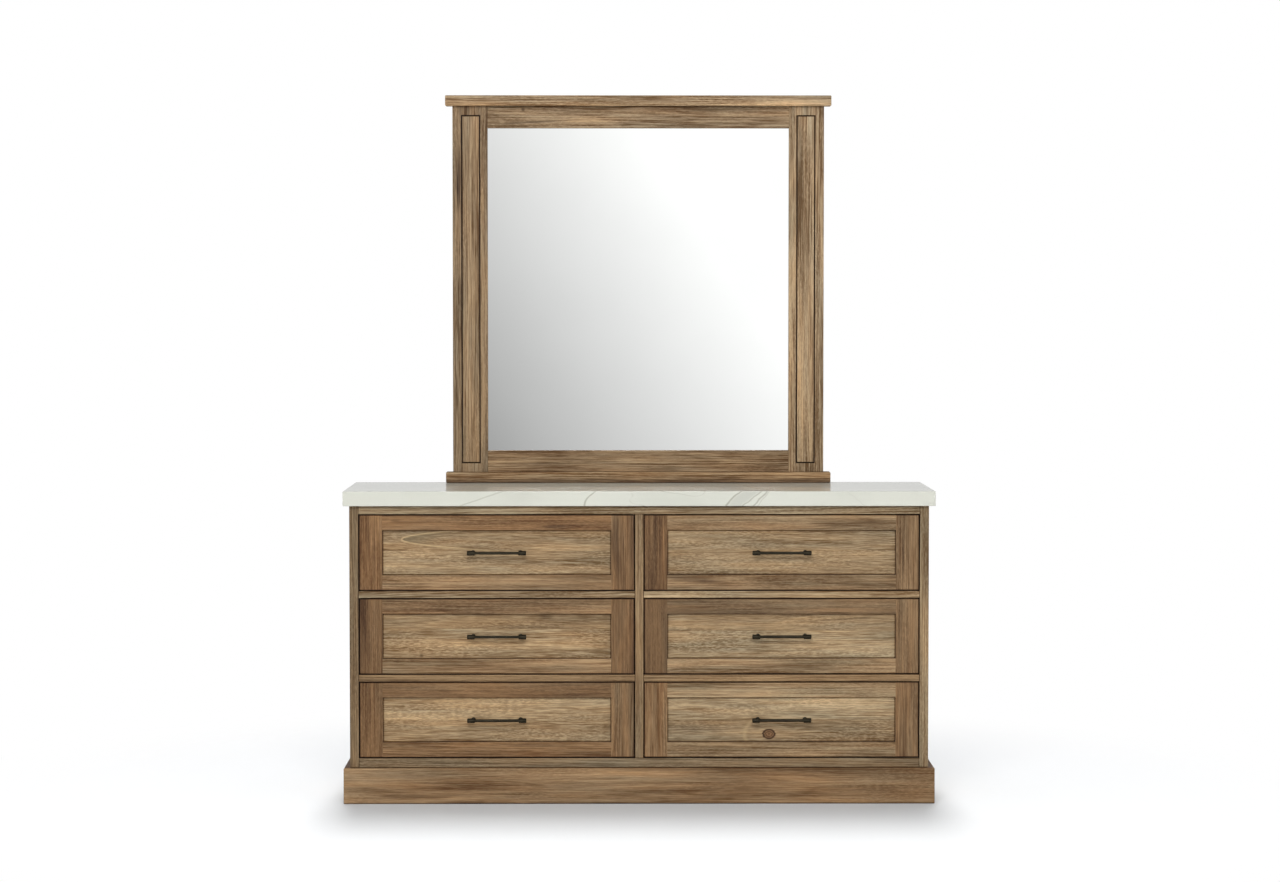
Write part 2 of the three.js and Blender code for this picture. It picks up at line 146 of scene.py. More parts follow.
class TimberSettings(bpy.types.PropertyGroup):
    body_colour: colour("Body", seen(0.548, 0.464, 0.337), "Rails, sides and divider")
    front_colour: colour("Drawer frame", seen(0.515, 0.409, 0.277), "Stiles and rails of the drawers")
    panel_colour: colour("Drawer panel", seen(0.652, 0.562, 0.417), "Panels of the drawers")
    plinth_colour: colour("Plinth", seen(0.569, 0.464, 0.326), "Plinth boards")
    mirror_colour: colour("Mirror frame", seen(0.563, 0.477, 0.354), "Mirror frame, base and cap")
    box_colour: colour("Drawer box", seen(0.660, 0.575, 0.460), "Boards of the drawer boxes")
    hidden_colour: colour("Inner boards", seen(0.590, 0.500, 0.395), "Bearers, guides and supports")
    backing_colour: colour("Backing board", seen(0.430, 0.340, 0.250), "Back panel and mirror backing")
    streak_colour: colour("Streak", seen(0.330, 0.270, 0.190), "Dark mineral streaks")
    arc_colour: colour("Arc", seen(0.470, 0.415, 0.310), "Weathered wood inside an arc of the grain")
    knot_colour: colour("Knot", seen(0.515, 0.375, 0.250), "Knots")
    ring_pitch: length("Ring pitch", 0.0050, "Width of a year's growth")
    wander_length: length("Wander length", 0.30, "Length of a bend in the grain")
    wander_width: length("Wander width", 0.030, "Width of a bend in the grain")
    wander_reach: length("Wander reach", 0.009, "How far the grain bends")
    fibre_length: length("Fibre length", 0.090, "Length of a band of fibres")
    fibre_width: length("Fibre width", 0.0034, "Width of a band of fibres")
    brush_length: length("Brush length", 0.045, "Length of a brushed dash")
    brush_width: length("Brush width", 0.0026, "Width of a brushed dash")
    line_length: length("Line length", 0.26, "Length of a fine line of the grain")
    fleck_length: length("Fleck length", 0.013, "Length of a short fleck among the dashes")
    line_width: length("Line width", 0.0034, "Width of a fine line of the grain")
    pore_length: length("Pore length", 0.022, "Length of a pore")
    pore_width: length("Pore width", 0.0009, "Width of a pore")
    patch_length: length("Patch length", 0.55, "Length of a patch of tone")
    patch_width: length("Patch width", 0.048, "Width of a patch of tone")
    streak_length: length("Streak length", 0.55, "Length of a mineral streak")
    streak_width: length("Streak width", 0.022, "Width of a mineral streak")
    arc_open: number("Arc opening", 260.0, "How fast an arc of the grain opens, per metre")
    arc_line: length("Arc line", 0.0036, "Half width of the pale line round an arc")
    relief: length("Relief", 0.00035, "Depth of the brushed grain")


class StoneSettings(bpy.types.PropertyGroup):
    edge_round: length("Edge rounding", 0.0020, "Radius on the stone's edges")
    round_segments: quantity("Rounding segments", 4, 1, 8, "Faces across a rounding")
    body_colour: colour("Stone", seen(0.866, 0.870, 0.826), "Ground of the stone")
    cloud_colour: colour("Cloud", seen(0.836, 0.841, 0.796), "Clouds in the stone")
    vein_colour: colour("Vein", seen(0.610, 0.600, 0.535), "Veins in the stone")
    polish: share("Polish", 0.62, "Weight of the polished surface")


class MetalSettings(bpy.types.PropertyGroup):
    handle_colour: colour("Handle", seen(0.205, 0.189, 0.153), "Dark metal of the handles")
    wear_colour: colour("Wear", seen(0.325, 0.302, 0.250), "Handle metal where it is worn")
    screw_colour: colour("Screw", seen(0.640, 0.620, 0.570), "Plated screws")
    turned_steps: quantity("Turned steps", 48, 12, 96, "Steps round a turned piece")
    collar_length: length("Collar length", 0.021, "Length of the thick ends of a handle")
    collar_radius: length("Collar radius", 0.00625, "Radius of the thick ends of a handle")
    bar_radius: length("Bar radius", 0.0040, "Radius of a handle between its collars")
    post_pitch: length("Post pitch", 0.128, "Distance between a handle's posts")
    post_radius: length("Post radius", 0.0045, "Radius of a handle's post")
    rose_radius: length("Rose radius", 0.0062, "Radius of the foot of a post")
    rose_thickness: length("Rose thickness", 0.003, "Thickness of the foot of a post")
    screw_radius: length("Screw radius", 0.0042, "Radius of a screw's head")
    screw_rise: length("Screw rise", 0.0024, "Height of a screw's head")


class MirrorSettings(bpy.types.PropertyGroup):
    silver_colour: colour("Silver", (0.955, 0.965, 0.955), "Silvering of the mirror")
    paint_colour: colour("Back paint", seen(0.400, 0.420, 0.420), "Paint behind the silvering")
    paint_thickness: length("Paint thickness", 0.0004, "Thickness of the paint and silvering")
    edge_round: length("Edge grinding", 0.0006, "Ground edge of the glass")
    strip_width: length("Strip width", 0.014, "Width of the strips that hold the backing")
    strip_thickness: length("Strip thickness", 0.005, "Thickness of the strips that hold the backing")


class StageSettings(bpy.types.PropertyGroup):
    camera_place: FloatVectorProperty(
        name="Camera place",
        description="Where the camera stands",
        default=(-0.05992, -8.94047, 1.36648),
        subtype="XYZ",
        unit="LENGTH",
    )
    camera_drop: angle("Camera drop", 0.04397, "How far the camera looks down")
    camera_swing: angle("Camera swing", -0.00709, "How far the camera looks aside")
    lens: number("Lens", 91.02, "Focal length in millimetres", "CAMERA")
    sensor: number("Sensor", 36.0, "Sensor width in millimetres", "CAMERA")
    floor_half: length("Floor half width", 30.0, "Half the width of the floor")
    wall_level: share("Wall level", 0.80, "Brightness of the light from the sides")
    sky_level: share("Sky level", 0.40, "Brightness of the light from above")
    key_power: number("Key light", 130.0, "Power of the key light", "POWER")
    key_size: length("Key width", 2.6, "Width of the key light")
    key_height: length("Key height", 1.2, "Height of the key light's face")
    floor_glow: share("Floor glow", 1.0, "Brightness of the floor far from the dresser")
    shade_power: number("Floor light", 17000.0, "Power of the light that casts the floor's shade", "POWER")
    card_low: share("Card low", 0.385, "Brightness of the card at its lower left")
    card_across: share("Card across", 0.575, "How much brighter the card is on its right")
    card_up: share("Card up", 0.405, "How much brighter the card is at its top")


SETTINGS = {
    "dresser_boards": BoardSettings,
    "dresser_timber": TimberSettings,
    "dresser_stone": StoneSettings,
    "dresser_metal": MetalSettings,
    "dresser_mirror": MirrorSettings,
    "dresser_stage": StageSettings,
}


def settings(name):
    return getattr(bpy.context.scene, "dresser_" + name)


# Tables of the boards.

# Lightness, warmth and share of streaks of each board.
PLAIN_TONE = (1.0, 0.5, 0.2)
PLINTH_TONES = {
    "plinth_front": (1.09, 0.66, 0.2),
    "plinth_left": (0.96, 0.65, 0.2),
    "plinth_right": (0.98, 0.65, 0.2),
}
CARCASS_TONES = {
    "side_panel_left": (0.72, 0.68, 0.5),
    "side_panel_right": (1.18, 0.52, 0.3),
    "centre_divider": (0.91, 0.78, 0.3),
    "top_rail": (1.24, 0.44, 0.4),
    "bottom_rail": (0.92, 0.56, 0.5),
    "rail_under_upper_left": (1.24, 0.46, 0.3),
    "rail_under_upper_right": (1.54, 0.55, 0.2),
    "rail_under_middle_left": (0.74, 1.00, 0.3),
    "rail_under_middle_right": (0.91, 1.00, 0.3),
}
MIRROR_TONES = {
    "mirror_base": (1.19, 0.84, 0.2),
    "mirror_cap": (1.33, 0.63, 0.2),
    "mirror_stile_left": (0.82, 0.74, 0.6),
    "mirror_stile_right": (1.20, 0.57, 0.4),
    "mirror_top_rail": (1.05, 0.69, 0.7),
    "mirror_bottom_rail": (0.98, 0.82, 0.6),
    "mirror_inlay_left": (0.94, 0.73, 0.5),
    "mirror_inlay_right": (1.18, 0.67, 0.4),
}
FRONT_BOARDS = ("left_stile", "right_stile", "top_rail", "bottom_rail", "top_board", "low_board")
FRONT_TONES = {
    "drawer_upper_left": (
        (0.96, 1.00, 0.2), (0.78, 0.90, 0.9), (0.98, 1.00, 0.3),
        (1.28, 0.55, 0.2), (0.87, 0.75, 0.2), (0.91, 0.65, 0.1),
    ),
    "drawer_upper_right": (
        (0.69, 1.00, 0.3), (1.05, 0.60, 0.4), (1.24, 0.45, 0.2),
        (1.27, 0.37, 0.4), (0.89, 0.60, 0.4), (0.78, 0.76, 0.2),
    ),
    "drawer_middle_left": (
        (0.65, 1.00, 0.3), (0.79, 0.85, 0.3), (1.05, 0.61, 0.5),
        (1.47, 0.42, 0.2), (0.72, 0.90, 0.3), (1.03, 0.72, 0.2),
    ),
    "drawer_middle_right": (
        (0.52, 1.00, 0.3), (0.94, 0.62, 0.3), (0.84, 0.50, 0.4),
        (1.48, 0.30, 0.2), (0.73, 0.76, 0.2), (1.02, 0.58, 0.3),
    ),
    "drawer_lower_left": (
        (0.78, 1.00, 0.3), (1.05, 0.57, 0.3), (0.74, 0.87, 0.4),
        (1.31, 0.75, 0.4), (1.04, 0.72, 0.1), (0.93, 0.76, 0.3),
    ),
    "drawer_lower_right": (
        (1.21, 0.70, 0.2), (0.99, 0.68, 0.2), (1.63, 0.27, 0.2),
        (1.48, 0.31, 0.2), (1.11, 0.57, 0.1), (0.84, 0.69, 0.4),
    ),
}
# How far the staves behind a side panel's front one are paler or darker than plain, front to back.
STAVE_STEP_SHARES = (0.0, 0.08, -0.07, 0.04)

# Where a panel's seam lies, as a share of its height.
SEAM_SHARES = {
    "drawer_upper_left": 0.537,
    "drawer_upper_right": 0.55,
    "drawer_middle_left": 0.66,
    "drawer_middle_right": 0.62,
    "drawer_lower_left": 0.47,
    "drawer_lower_right": 0.49,
}

# Boards that another word than their name places in the tree.
OTHER_CUTS = {"drawer_lower_right_frame_top_rail": "even", "side_panel_right_stave_1": "even"}

# Knots: the board's piece, the place of the knot, and its half length and half height.
KNOTS = {
    "drawer_lower_right_panel_low_board": ((0.352, -0.205, 0.186), 0.017, 0.0125),
    "drawer_middle_right_panel_top_board": ((0.244, -0.205, 0.459), 0.005, 0.006),
}

# Arcs in the grain: the board's piece, the tip of the arc, and the way that it opens.
ARCS = {
    "drawer_upper_left_panel_top_board": ((-0.642, -0.205, 0.716), 1),
}

# Dark (or, where the strength is negative, pale) marks in a board, at most three:
# place, half length, half width, slope and strength. Most are marks in the wood; the bands
# along the whole mirror base, cap, top rail and plinth foot are painted shade and painted light.
MARK_LAYERS = ("mark_one", "mark_two", "mark_three")
MARKS = {
    "drawer_upper_left_frame_top_rail": (
        ((-0.228, 0, 0.7505), 0.060, 0.0065, 0.0, 0.75),
        ((-0.660, 0, 0.768), 0.016, 0.006, 0.0, 0.35),
    ),
    "drawer_upper_left_frame_right_stile": (((-0.060, 0, 0.676), 0.150, 0.014, -0.06, 0.60),),
    "drawer_upper_left_frame_left_stile": (((-0.716, 0, 0.676), 0.150, 0.006, 0.0, 0.45),),
    "drawer_upper_right_frame_left_stile": (((0.0645, 0, 0.690), 0.110, 0.0055, 0.0, -0.75),),
    "drawer_upper_right_frame_bottom_rail": (((0.150, 0, 0.606), 0.120, 0.012, -0.10, 0.60),),
    "drawer_upper_right_frame_right_stile": (((0.713, 0, 0.676), 0.110, 0.0045, 0.0, 0.65),),
    "drawer_upper_left_panel_top_board": (((-0.1925, 0, 0.6846), 0.150, 0.0040, 0.0, -1.0),),
    "drawer_middle_left_panel_top_board": (
        ((-0.2506, 0, 0.506), 0.030, 0.012, 0.0, 0.45),
        ((-0.205, 0, 0.514), 0.012, 0.004, 0.0, 0.70),
    ),
    "drawer_middle_left_panel_low_board": (((-0.590, 0, 0.4008), 0.008, 0.006, 0.0, 0.70),),
    "drawer_middle_right_panel_top_board": (
        ((0.552, 0, 0.499), 0.130, 0.0045, 0.07, 0.50),
        ((0.425, 0, 0.498), 0.110, 0.007, 0.18, -0.45),
    ),
    "drawer_middle_right_frame_top_rail": (((0.520, 0, 0.5165), 0.070, 0.004, 0.0, 0.60),),
    "drawer_lower_right_panel_low_board": (((0.150, 0, 0.202), 0.130, 0.022, 0.0, 0.32),),
    "drawer_lower_left_frame_bottom_rail": (((-0.290, 0, 0.157), 0.150, 0.006, 0.0, 0.50),),
    "mirror_stile_left_board": (
        ((-0.505, 0, 1.700), 0.130, 0.0095, 0.0, 1.0),
        ((-0.497, 0, 1.835), 0.070, 0.005, 0.0, 0.55),
    ),
    "mirror_top_rail_board": (
        ((-0.290, 0, 1.8625), 0.130, 0.0045, 0.05, 0.65),
        ((-0.324, 0, 1.897), 0.007, 0.007, 0.0, 0.70),
    ),
    "mirror_bottom_rail_board": (((-0.270, 0, 0.900), 0.160, 0.007, 0.02, 0.50),),
    # Painted shade along the base's lower edge, and painted light on its upper part.
    "mirror_base_board": (
        ((0, 0, 0.8476), 3.000, 0.0160, 0.0, 0.90),
        ((0, 0, 0.8710), 3.000, 0.0080, 0.0, -0.35),
    ),
    # Painted light: a paler band across the cap's face.
    "mirror_cap_board": (((0, 0, 1.9110), 3.000, 0.0120, 0.0, -0.35),),
    # Painted shadow of the stone along the top of the top rail.
    "top_rail_board": (((0, 0, 0.8070), 3.000, 0.0080, 0.0, 0.60),),
    "plinth_front_board": (
        ((0.040, 0, 0.092), 0.160, 0.007, 0.0, 0.45),
        ((-0.560, 0, 0.022), 0.180, 0.008, 0.0, 0.40),
        # Painted contact shadow along the plinth's foot.
        ((0, 0, 0), 3.000, 0.0060, 0.0, 0.95),
    ),
}
# What a point's layers hold where its board has no knot, mark or arc.
NO_KNOT = (99, 99, 99)
NO_MARK = (99, 99, 0)
NO_ARC = (-9, 0, 0)

# How dark the painted shade is on the rim of a drawer front and on the plinth's ledge, and the painted
# contact shadow along the plinth's foot.
RIM_SHADE = 0.60
LEDGE_SHADE = 0.46
FOOT_SHADE = 0.75
FOOT_REACH = 0.0005


# Materials.

MIDDLE = 0.5
WHITE = (1.0, 1.0, 1.0, 1.0)
NOISE_DETAIL = 2.0
PLAIN_DETAIL = 1.0


class Graph:
    """Nodes of one material or world, made by short calls that link as they go."""

    def __init__(self, owner):
        owner.use_nodes = True
        self.owner = owner
        self.tree = owner.node_tree
        self.tree.nodes.clear()

    def add(self, kind, inputs, **options):
        node = self.tree.nodes.new(kind)
        for key, value in options.items():
            setattr(node, key, value)
        for key, value in inputs.items():
            if isinstance(value, bpy.types.NodeSocket):
                self.tree.links.new(value, node.inputs[key])
            else:
                node.inputs[key].default_value = value
        return node

    def attribute(self, name, output="Vector"):
        return self.add("ShaderNodeAttribute", {}, attribute_name=name).outputs[output]

    def place(self):
        return self.add("ShaderNodeTexCoord", {}).outputs["Object"]

    def split(self, vector):
        return self.add("ShaderNodeSeparateXYZ", {0: vector}).outputs

    def vector(self, operation, first, second):
        return self.add("ShaderNodeVectorMath", {0: first, 1: second}, operation=operation).outputs[0]

    def scaled(self, vector, factor):
        return self.add("ShaderNodeVectorMath", {0: vector, "Scale": factor}, operation="SCALE").outputs[0]

    def norm(self, vector):
        return self.add("ShaderNodeVectorMath", {0: vector}, operation="LENGTH").outputs["Value"]

    def math(self, operation, first, second=0.0, clamp=False):
        inputs = {0: first, 1: second}
        return self.add("ShaderNodeMath", inputs, operation=operation, use_clamp=clamp).outputs[0]

    def plus(self, first, second, clamp=False):
        return self.math("ADD", first, second, clamp)

    def minus(self, first, second):
        return self.math("SUBTRACT", first, second)

    def times(self, first, second):
        return self.math("MULTIPLY", first, second)

    def held(self, value, least, most):
        """A value kept from least to most."""
        return self.math("MAXIMUM", self.math("MINIMUM", value, most), least)

    def swing(self, pattern, reach):
        """A pattern's rise and fall about its middle, reach from its least to its most."""
        return self.times(self.minus(pattern, MIDDLE), reach)

    def noise(self, vector, run, width, detail=NOISE_DETAIL, output=0):
        """Noise whose features are about run long and width wide."""
        stretched = self.vector("MULTIPLY", vector, (1 / run, 1 / width, 1 / width))
        inputs = {"Vector": stretched, "Scale": 1.0, "Detail": detail}
        return self.add("ShaderNodeTexNoise", inputs).outputs[output]

    def band(self, value, low, high, to_low=0.0, to_high=1.0):
        """Maps low to high onto to_low to to_high, with soft ends."""
        inputs = {"Value": value, 1: low, 2: high, 3: to_low, 4: to_high}
        return self.add("ShaderNodeMapRange", inputs, interpolation_type="SMOOTHSTEP").outputs[0]

    def peak(self, value, reach, height=1.0):
        """Height where a value is 0, and nothing past reach on either side."""
        return self.band(self.math("ABSOLUTE", value), 0.0, reach, height, 0.0)

    def mix(self, amount, first, second, blend="MIX"):
        inputs = {0: amount, 6: opaque(first), 7: opaque(second)}
        return self.add("ShaderNodeMix", inputs, data_type="RGBA", blend_type=blend).outputs[2]

    def dyed(self, amount, base, tint):
        """A colour with a tint laid over it by an amount."""
        return self.mix(amount, base, self.mix(1.0, base, tint, "MULTIPLY"))

    def bump(self, height, depth):
        inputs = {"Height": height, "Distance": depth, "Strength": 1.0}
        return self.add("ShaderNodeBump", inputs).outputs[0]

    def finish(self, base, roughness, normal=None, **extra):
        inputs = {"Base Color": opaque(base), "Roughness": roughness}
        if normal is not None:
            inputs["Normal"] = normal
        inputs.update(extra)
        shader = self.add("ShaderNodeBsdfPrincipled", inputs).outputs[0]
        self.add("ShaderNodeOutputMaterial", {"Surface": shader})

    def glow(self, strength):
        """White that shines by itself."""
        return self.add("ShaderNodeEmission", {"Color": WHITE, "Strength": strength}).outputs[0]


def opaque(value):
    if isinstance(value, bpy.types.NodeSocket) or len(value) == len(WHITE):
        return value
    return (*value, 1.0)


def tinted(base, factor):
    return tuple(channel * factor for channel in base)


def toned(base, factors):
    return tuple(channel * factor for channel, factor in zip(base, factors))


# Wood.

# The setting that holds each wood's colour.
TIMBER_COLOURS = {
    "body_wood": "body_colour",
    "front_frame_wood": "front_colour",
    "front_panel_wood": "panel_colour",
    "plinth_wood": "plinth_colour",
    "mirror_wood": "mirror_colour",
    "box_wood": "box_colour",
    "hidden_wood": "hidden_colour",
}
# How much each pattern shows in a wood, and how rough the wood is.
PATTERNS = ("ring", "fibre", "brush", "line", "patch", "pore", "rough")
PATTERN_SHARES = {
    "body_wood": (0.18, 0.28, 0.26, 0.70, 0.62, 0.50, 0.58),
    "front_frame_wood": (0.18, 0.20, 0.22, 0.58, 0.72, 0.60, 0.55),
    "front_panel_wood": (0.10, 0.17, 0.40, 0.38, 0.46, 0.55, 0.62),
    "plinth_wood": (0.14, 0.15, 0.22, 0.44, 0.78, 0.50, 0.56),
    "mirror_wood": (0.20, 0.32, 0.26, 0.86, 0.78, 0.50, 0.58),
    "box_wood": (0.22, 0.25, 0.08, 0.17, 0.22, 0.25, 0.60),
    "hidden_wood": (0.25, 0.30, 0.12, 0.25, 0.30, 0.30, 0.68),
}
# How far each pattern swings the tone where its share is 1.
PATTERN_SWINGS = {"ring": 1.0, "fibre": 2.2, "brush": 1.0, "line": 2.2, "patch": 2.2}

# A wave texture of scale 1 repeats after this length.
WAVE_REPEAT = FULL_TURN / 20
RING_POWER = 0.7
# The share of the grain's bends that its fine patterns follow.
BEND_SHARE = 0.3
FIBRE_DETAIL = 3.0
STREAK_DETAIL = 4.0
# Zones where flecks replace dashes, in lengths and widths of a band of fibres.
ZONE_LENGTHS = 4
ZONE_WIDTHS = 18
# A band holds the lowest and highest value that it maps, and what they become.
FLECKED_BAND = (0.45, 0.60, 0.15, 1.0)
BRUSH_BAND = (0.36, 0.60, 1.0, 0.0)
PORE_BAND = (0.60, 0.70)
STREAK_BAND = (0.60, 0.70)
STREAK_SHARE = 0.75
STREAK_TINT = 0.8
HUE_SIZE_SHARE = 0.5
HUE_SWING = 1.2
WORN_SHARE = 0.5
# Painted shade in gaps, grooves and under overhangs: how it deepens.
PAINTED_SHADE_BAND = (0.0, 0.5, 0.0, 0.97)
BRUSH_RELIEF = 1.2
PORE_RELIEF = 0.7
SHINE_BAND = (0.25, 0.75)
SHINE_SWING = 0.07
WOOD_SHEEN = 0.3

DARK_END = (0.38, 0.290, 0.190)
LIGHT_END = (1.56, 1.73, 2.10)
WARM_TINT = (1.17, 0.97, 0.77)
COOL_TINT = (0.87, 1.02, 1.14)
# Colours of thick and thin painted shade.
PAINTED_SHADE_TINT = (0.10, 0.06, 0.03)
THIN_PAINTED_SHADE_TINT = (0.80, 0.64, 0.46)
WORN_TINT = (1.22, 1.22, 1.20)
PORE_TINT = (0.58, 0.54, 0.50)
DARK_TINT = (0.30, 0.26, 0.23)
PALE_TINT = (1.45, 1.42, 1.38)

ARC_GREY_BAND = (0.02, 0.12, 0.85, 0.0)
ARC_GRAIN_SHARE = 0.20
ARC_LINE_SHARE = 0.70
ARC_LINE_BAND = (0.10, 0.45, 0.9, 0.3)
ARC_LINE_TINT = 1.60

FLAT = (1.0, 1.0, 0.0)
MARK_RAGGEDNESS = 0.9
MARK_BAND = (0.25, 1.0, 1.0, 0.0)
MARK_TURN = 0.01

# Distances from a knot are in half sizes of the knot, and the pull is in metres.
KNOT_PULL = 0.0045
KNOT_PULL_BAND = (1.0, 4.5, 1.0, 0.0)
KNOT_RAGGEDNESS = 0.5
KNOT_CORE_BAND = (1.0, 1.2, 1.0, 0.0)
KNOT_TURNS = 15.0
KNOT_PALE_TINT = 1.30
KNOT_DARK_TINT = 0.55
KNOT_RIM_TINT = 0.25
KNOT_RIM_PLACE = 0.90
KNOT_RIM_REACH = 0.30
HALO_PLACE = 3.9
HALO_REACH = 0.55
HALO_SHARE = 0.45
HALO_SIDE_BAND = (-3.0, 0.0, 1.0, 0.0)
HALO_TINT = 1.45


def bent_grain(g, place, knot, distance):
    """Where each point lies in its tree, with the bends of the grain and the pull of a knot."""
    wood = settings("timber")
    wander = g.noise(place, wood.wander_length, wood.wander_width, output="Color")
    wander = g.vector("SUBTRACT", wander, (MIDDLE, MIDDLE, MIDDLE))
    reach = (0.0, 2 * wood.wander_reach, 2 * wood.wander_reach)
    bent = g.vector("ADD", place, g.vector("MULTIPLY", wander, reach))
    aside = g.vector("MULTIPLY", knot, (0.0, -KNOT_PULL, -KNOT_PULL))
    return g.vector("ADD", bent, g.scaled(aside, g.band(distance, *KNOT_PULL_BAND)))


def grain_patterns(g, place, bent):
    """Rings, fibres, brushed dashes, lines, patches and pores."""
    wood = settings("timber")
    wave = {"Vector": bent, "Scale": WAVE_REPEAT / wood.ring_pitch}
    rings = g.add("ShaderNodeTexWave", wave, wave_type="RINGS", rings_direction="X", wave_profile="SIN")
    fine = g.vector("ADD", g.scaled(bent, BEND_SHARE), g.scaled(place, 1 - BEND_SHARE))
    dash = g.noise(fine, wood.brush_length, wood.brush_width)
    fleck = g.noise(fine, wood.fleck_length, wood.brush_width)
    zone_sizes = (ZONE_LENGTHS * wood.fibre_length, ZONE_WIDTHS * wood.fibre_width)
    flecked = g.band(g.noise(place, *zone_sizes, PLAIN_DETAIL), *FLECKED_BAND)
    brush = g.plus(g.times(dash, g.minus(1.0, flecked)), g.times(fleck, flecked))
    return {
        "ring": g.math("POWER", rings.outputs["Fac"], RING_POWER),
        "fibre": g.noise(fine, wood.fibre_length, wood.fibre_width, FIBRE_DETAIL),
        "brush": g.band(brush, *BRUSH_BAND),
        "line": g.noise(fine, wood.line_length, wood.line_width),
        "patch": g.noise(bent, wood.patch_length, wood.patch_width, PLAIN_DETAIL),
        "pore": g.band(g.noise(fine, wood.pore_length, wood.pore_width, PLAIN_DETAIL), *PORE_BAND),
    }


def figured(g, base, place, patterns, shares, tone):
    """The wood's colour, from its patterns and the tone of the board."""
    wood = settings("timber")
    lightness, warmth, _ = tone
    figure = MIDDLE
    for name, reach in PATTERN_SWINGS.items():
        figure = g.plus(figure, g.swing(patterns[name], reach * shares[name]))
    surface = g.mix(g.held(figure, 0.0, 1.0), toned(base, DARK_END), toned(base, LIGHT_END))
    hue = g.noise(place, HUE_SIZE_SHARE * wood.patch_length, HUE_SIZE_SHARE * wood.patch_width)
    warm = g.plus(warmth, g.swing(hue, HUE_SWING))
    tint = g.mix(g.plus(warm, 0.0, clamp=True), COOL_TINT, WARM_TINT)
    return g.scaled(g.mix(1.0, surface, tint, "MULTIPLY"), lightness)


def with_arc(g, surface, base):
    """Greyer wood inside an arc of the grain, and a pale line round it."""
    wood = settings("timber")
    along, across, _ = g.split(g.attribute("arc"))
    bow = g.times(g.times(across, across), wood.arc_open)
    slope = g.times(across, 2 * wood.arc_open)
    steepness = g.math("SQRT", g.plus(g.times(slope, slope), 1.0))
    inside = g.math("DIVIDE", g.minus(along, bow), steepness)
    grey = g.times(g.band(inside, 0.0, wood.arc_line), g.band(along, *ARC_GREY_BAND))
    surface = g.mix(grey, surface, g.mix(ARC_GRAIN_SHARE, wood.arc_colour[:], surface))
    pale = g.times(g.peak(inside, wood.arc_line, ARC_LINE_SHARE), g.band(along, *ARC_LINE_BAND))
    return g.mix(pale, surface, tinted(base, ARC_LINE_TINT))


def with_streaks(g, surface, base, bent, fibre, tone):
    """Dark mineral streaks along the grain."""
    wood = settings("timber")
    streak = g.noise(bent, wood.streak_length, wood.streak_width, STREAK_DETAIL)
    amount = g.times(g.times(g.band(streak, *STREAK_BAND), tone[2]), STREAK_SHARE)
    return g.mix(amount, surface, g.mix(fibre, tinted(wood.streak_colour, STREAK_TINT), base))


def with_marks(g, surface, fibre):
    """Dark and pale marks with ragged ends: marks in the wood, and bands of painted shade and painted
    light.
    """
    for layer in MARK_LAYERS:
        mark = g.attribute(layer)
        strength = g.split(mark)[2]
        reach = g.plus(g.norm(g.vector("MULTIPLY", mark, FLAT)), g.swing(fibre, MARK_RAGGEDNESS))
        amount = g.times(g.band(reach, *MARK_BAND), g.math("ABSOLUTE", strength))
        tint = g.mix(g.band(strength, -MARK_TURN, MARK_TURN), PALE_TINT, DARK_TINT)
        surface = g.dyed(amount, surface, tint)
    return surface


def with_knot(g, surface, base, knot, distance, fibre):
    """A knot of ragged rings with a dark rim, and a pale halo on one side of it."""
    dye = settings("timber").knot_colour
    ragged = g.plus(distance, g.swing(fibre, KNOT_RAGGEDNESS))
    turns = g.band(g.math("SINE", g.times(ragged, KNOT_TURNS)), -1.0, 1.0)
    core = g.mix(turns, tinted(dye, KNOT_PALE_TINT), tinted(dye, KNOT_DARK_TINT))
    rim = g.peak(g.minus(ragged, KNOT_RIM_PLACE), KNOT_RIM_REACH)
    core = g.mix(rim, core, tinted(dye, KNOT_RIM_TINT))
    halo = g.peak(g.minus(distance, HALO_PLACE), HALO_REACH, HALO_SHARE)
    halo = g.times(halo, g.band(g.split(knot)[0], *HALO_SIDE_BAND))
    surface = g.mix(halo, surface, tinted(base, HALO_TINT))
    return g.mix(g.band(ragged, *KNOT_CORE_BAND), surface, core)


def timber(g, slot):
    """Solid wood cut from a tree, with its streaks, marks, knots and wear, and painted shade in gaps,
    grooves and under overhangs.
    """
    wood = settings("timber")
    base = getattr(wood, TIMBER_COLOURS[slot])[:]
    shares = dict(zip(PATTERNS, PATTERN_SHARES[slot]))
    place = g.attribute("board")
    tone = g.split(g.attribute("tone"))
    knot = g.attribute("knot")
    distance = g.norm(knot)
    bent = bent_grain(g, place, knot, distance)
    patterns = grain_patterns(g, place, bent)
    fibre, pore = patterns["fibre"], patterns["pore"]
    surface = figured(g, base, place, patterns, shares, tone)
    surface = with_arc(g, surface, base)
    surface = with_streaks(g, surface, base, bent, fibre, tone)
    surface = with_marks(g, surface, fibre)
    surface = with_knot(g, surface, base, knot, distance, fibre)
    surface = g.dyed(g.times(pore, shares["pore"]), surface, PORE_TINT)
    surface = g.dyed(g.times(g.attribute("edge", "Fac"), WORN_SHARE), surface, WORN_TINT)
    # Painted shade: darker where gaps, grooves, panel edges, drawer rims and the plinth's ledge and foot
    # lie in shade.
    glaze = g.attribute("glaze", "Fac")
    shade_colour = g.mix(glaze, THIN_PAINTED_SHADE_TINT, PAINTED_SHADE_TINT)
    surface = g.dyed(g.band(glaze, *PAINTED_SHADE_BAND), surface, shade_colour)
    height = g.plus(fibre, g.times(patterns["brush"], BRUSH_RELIEF))
    height = g.minus(height, g.times(pore, PORE_RELIEF))
    rough = shares["rough"]
    roughness = g.band(fibre, *SHINE_BAND, rough + SHINE_SWING, rough - SHINE_SWING)
    g.finish(surface, roughness, g.bump(height, wood.relief), **{"Specular IOR Level": WOOD_SHEEN})


# Other finishes. A noise holds its run, its width and its detail.

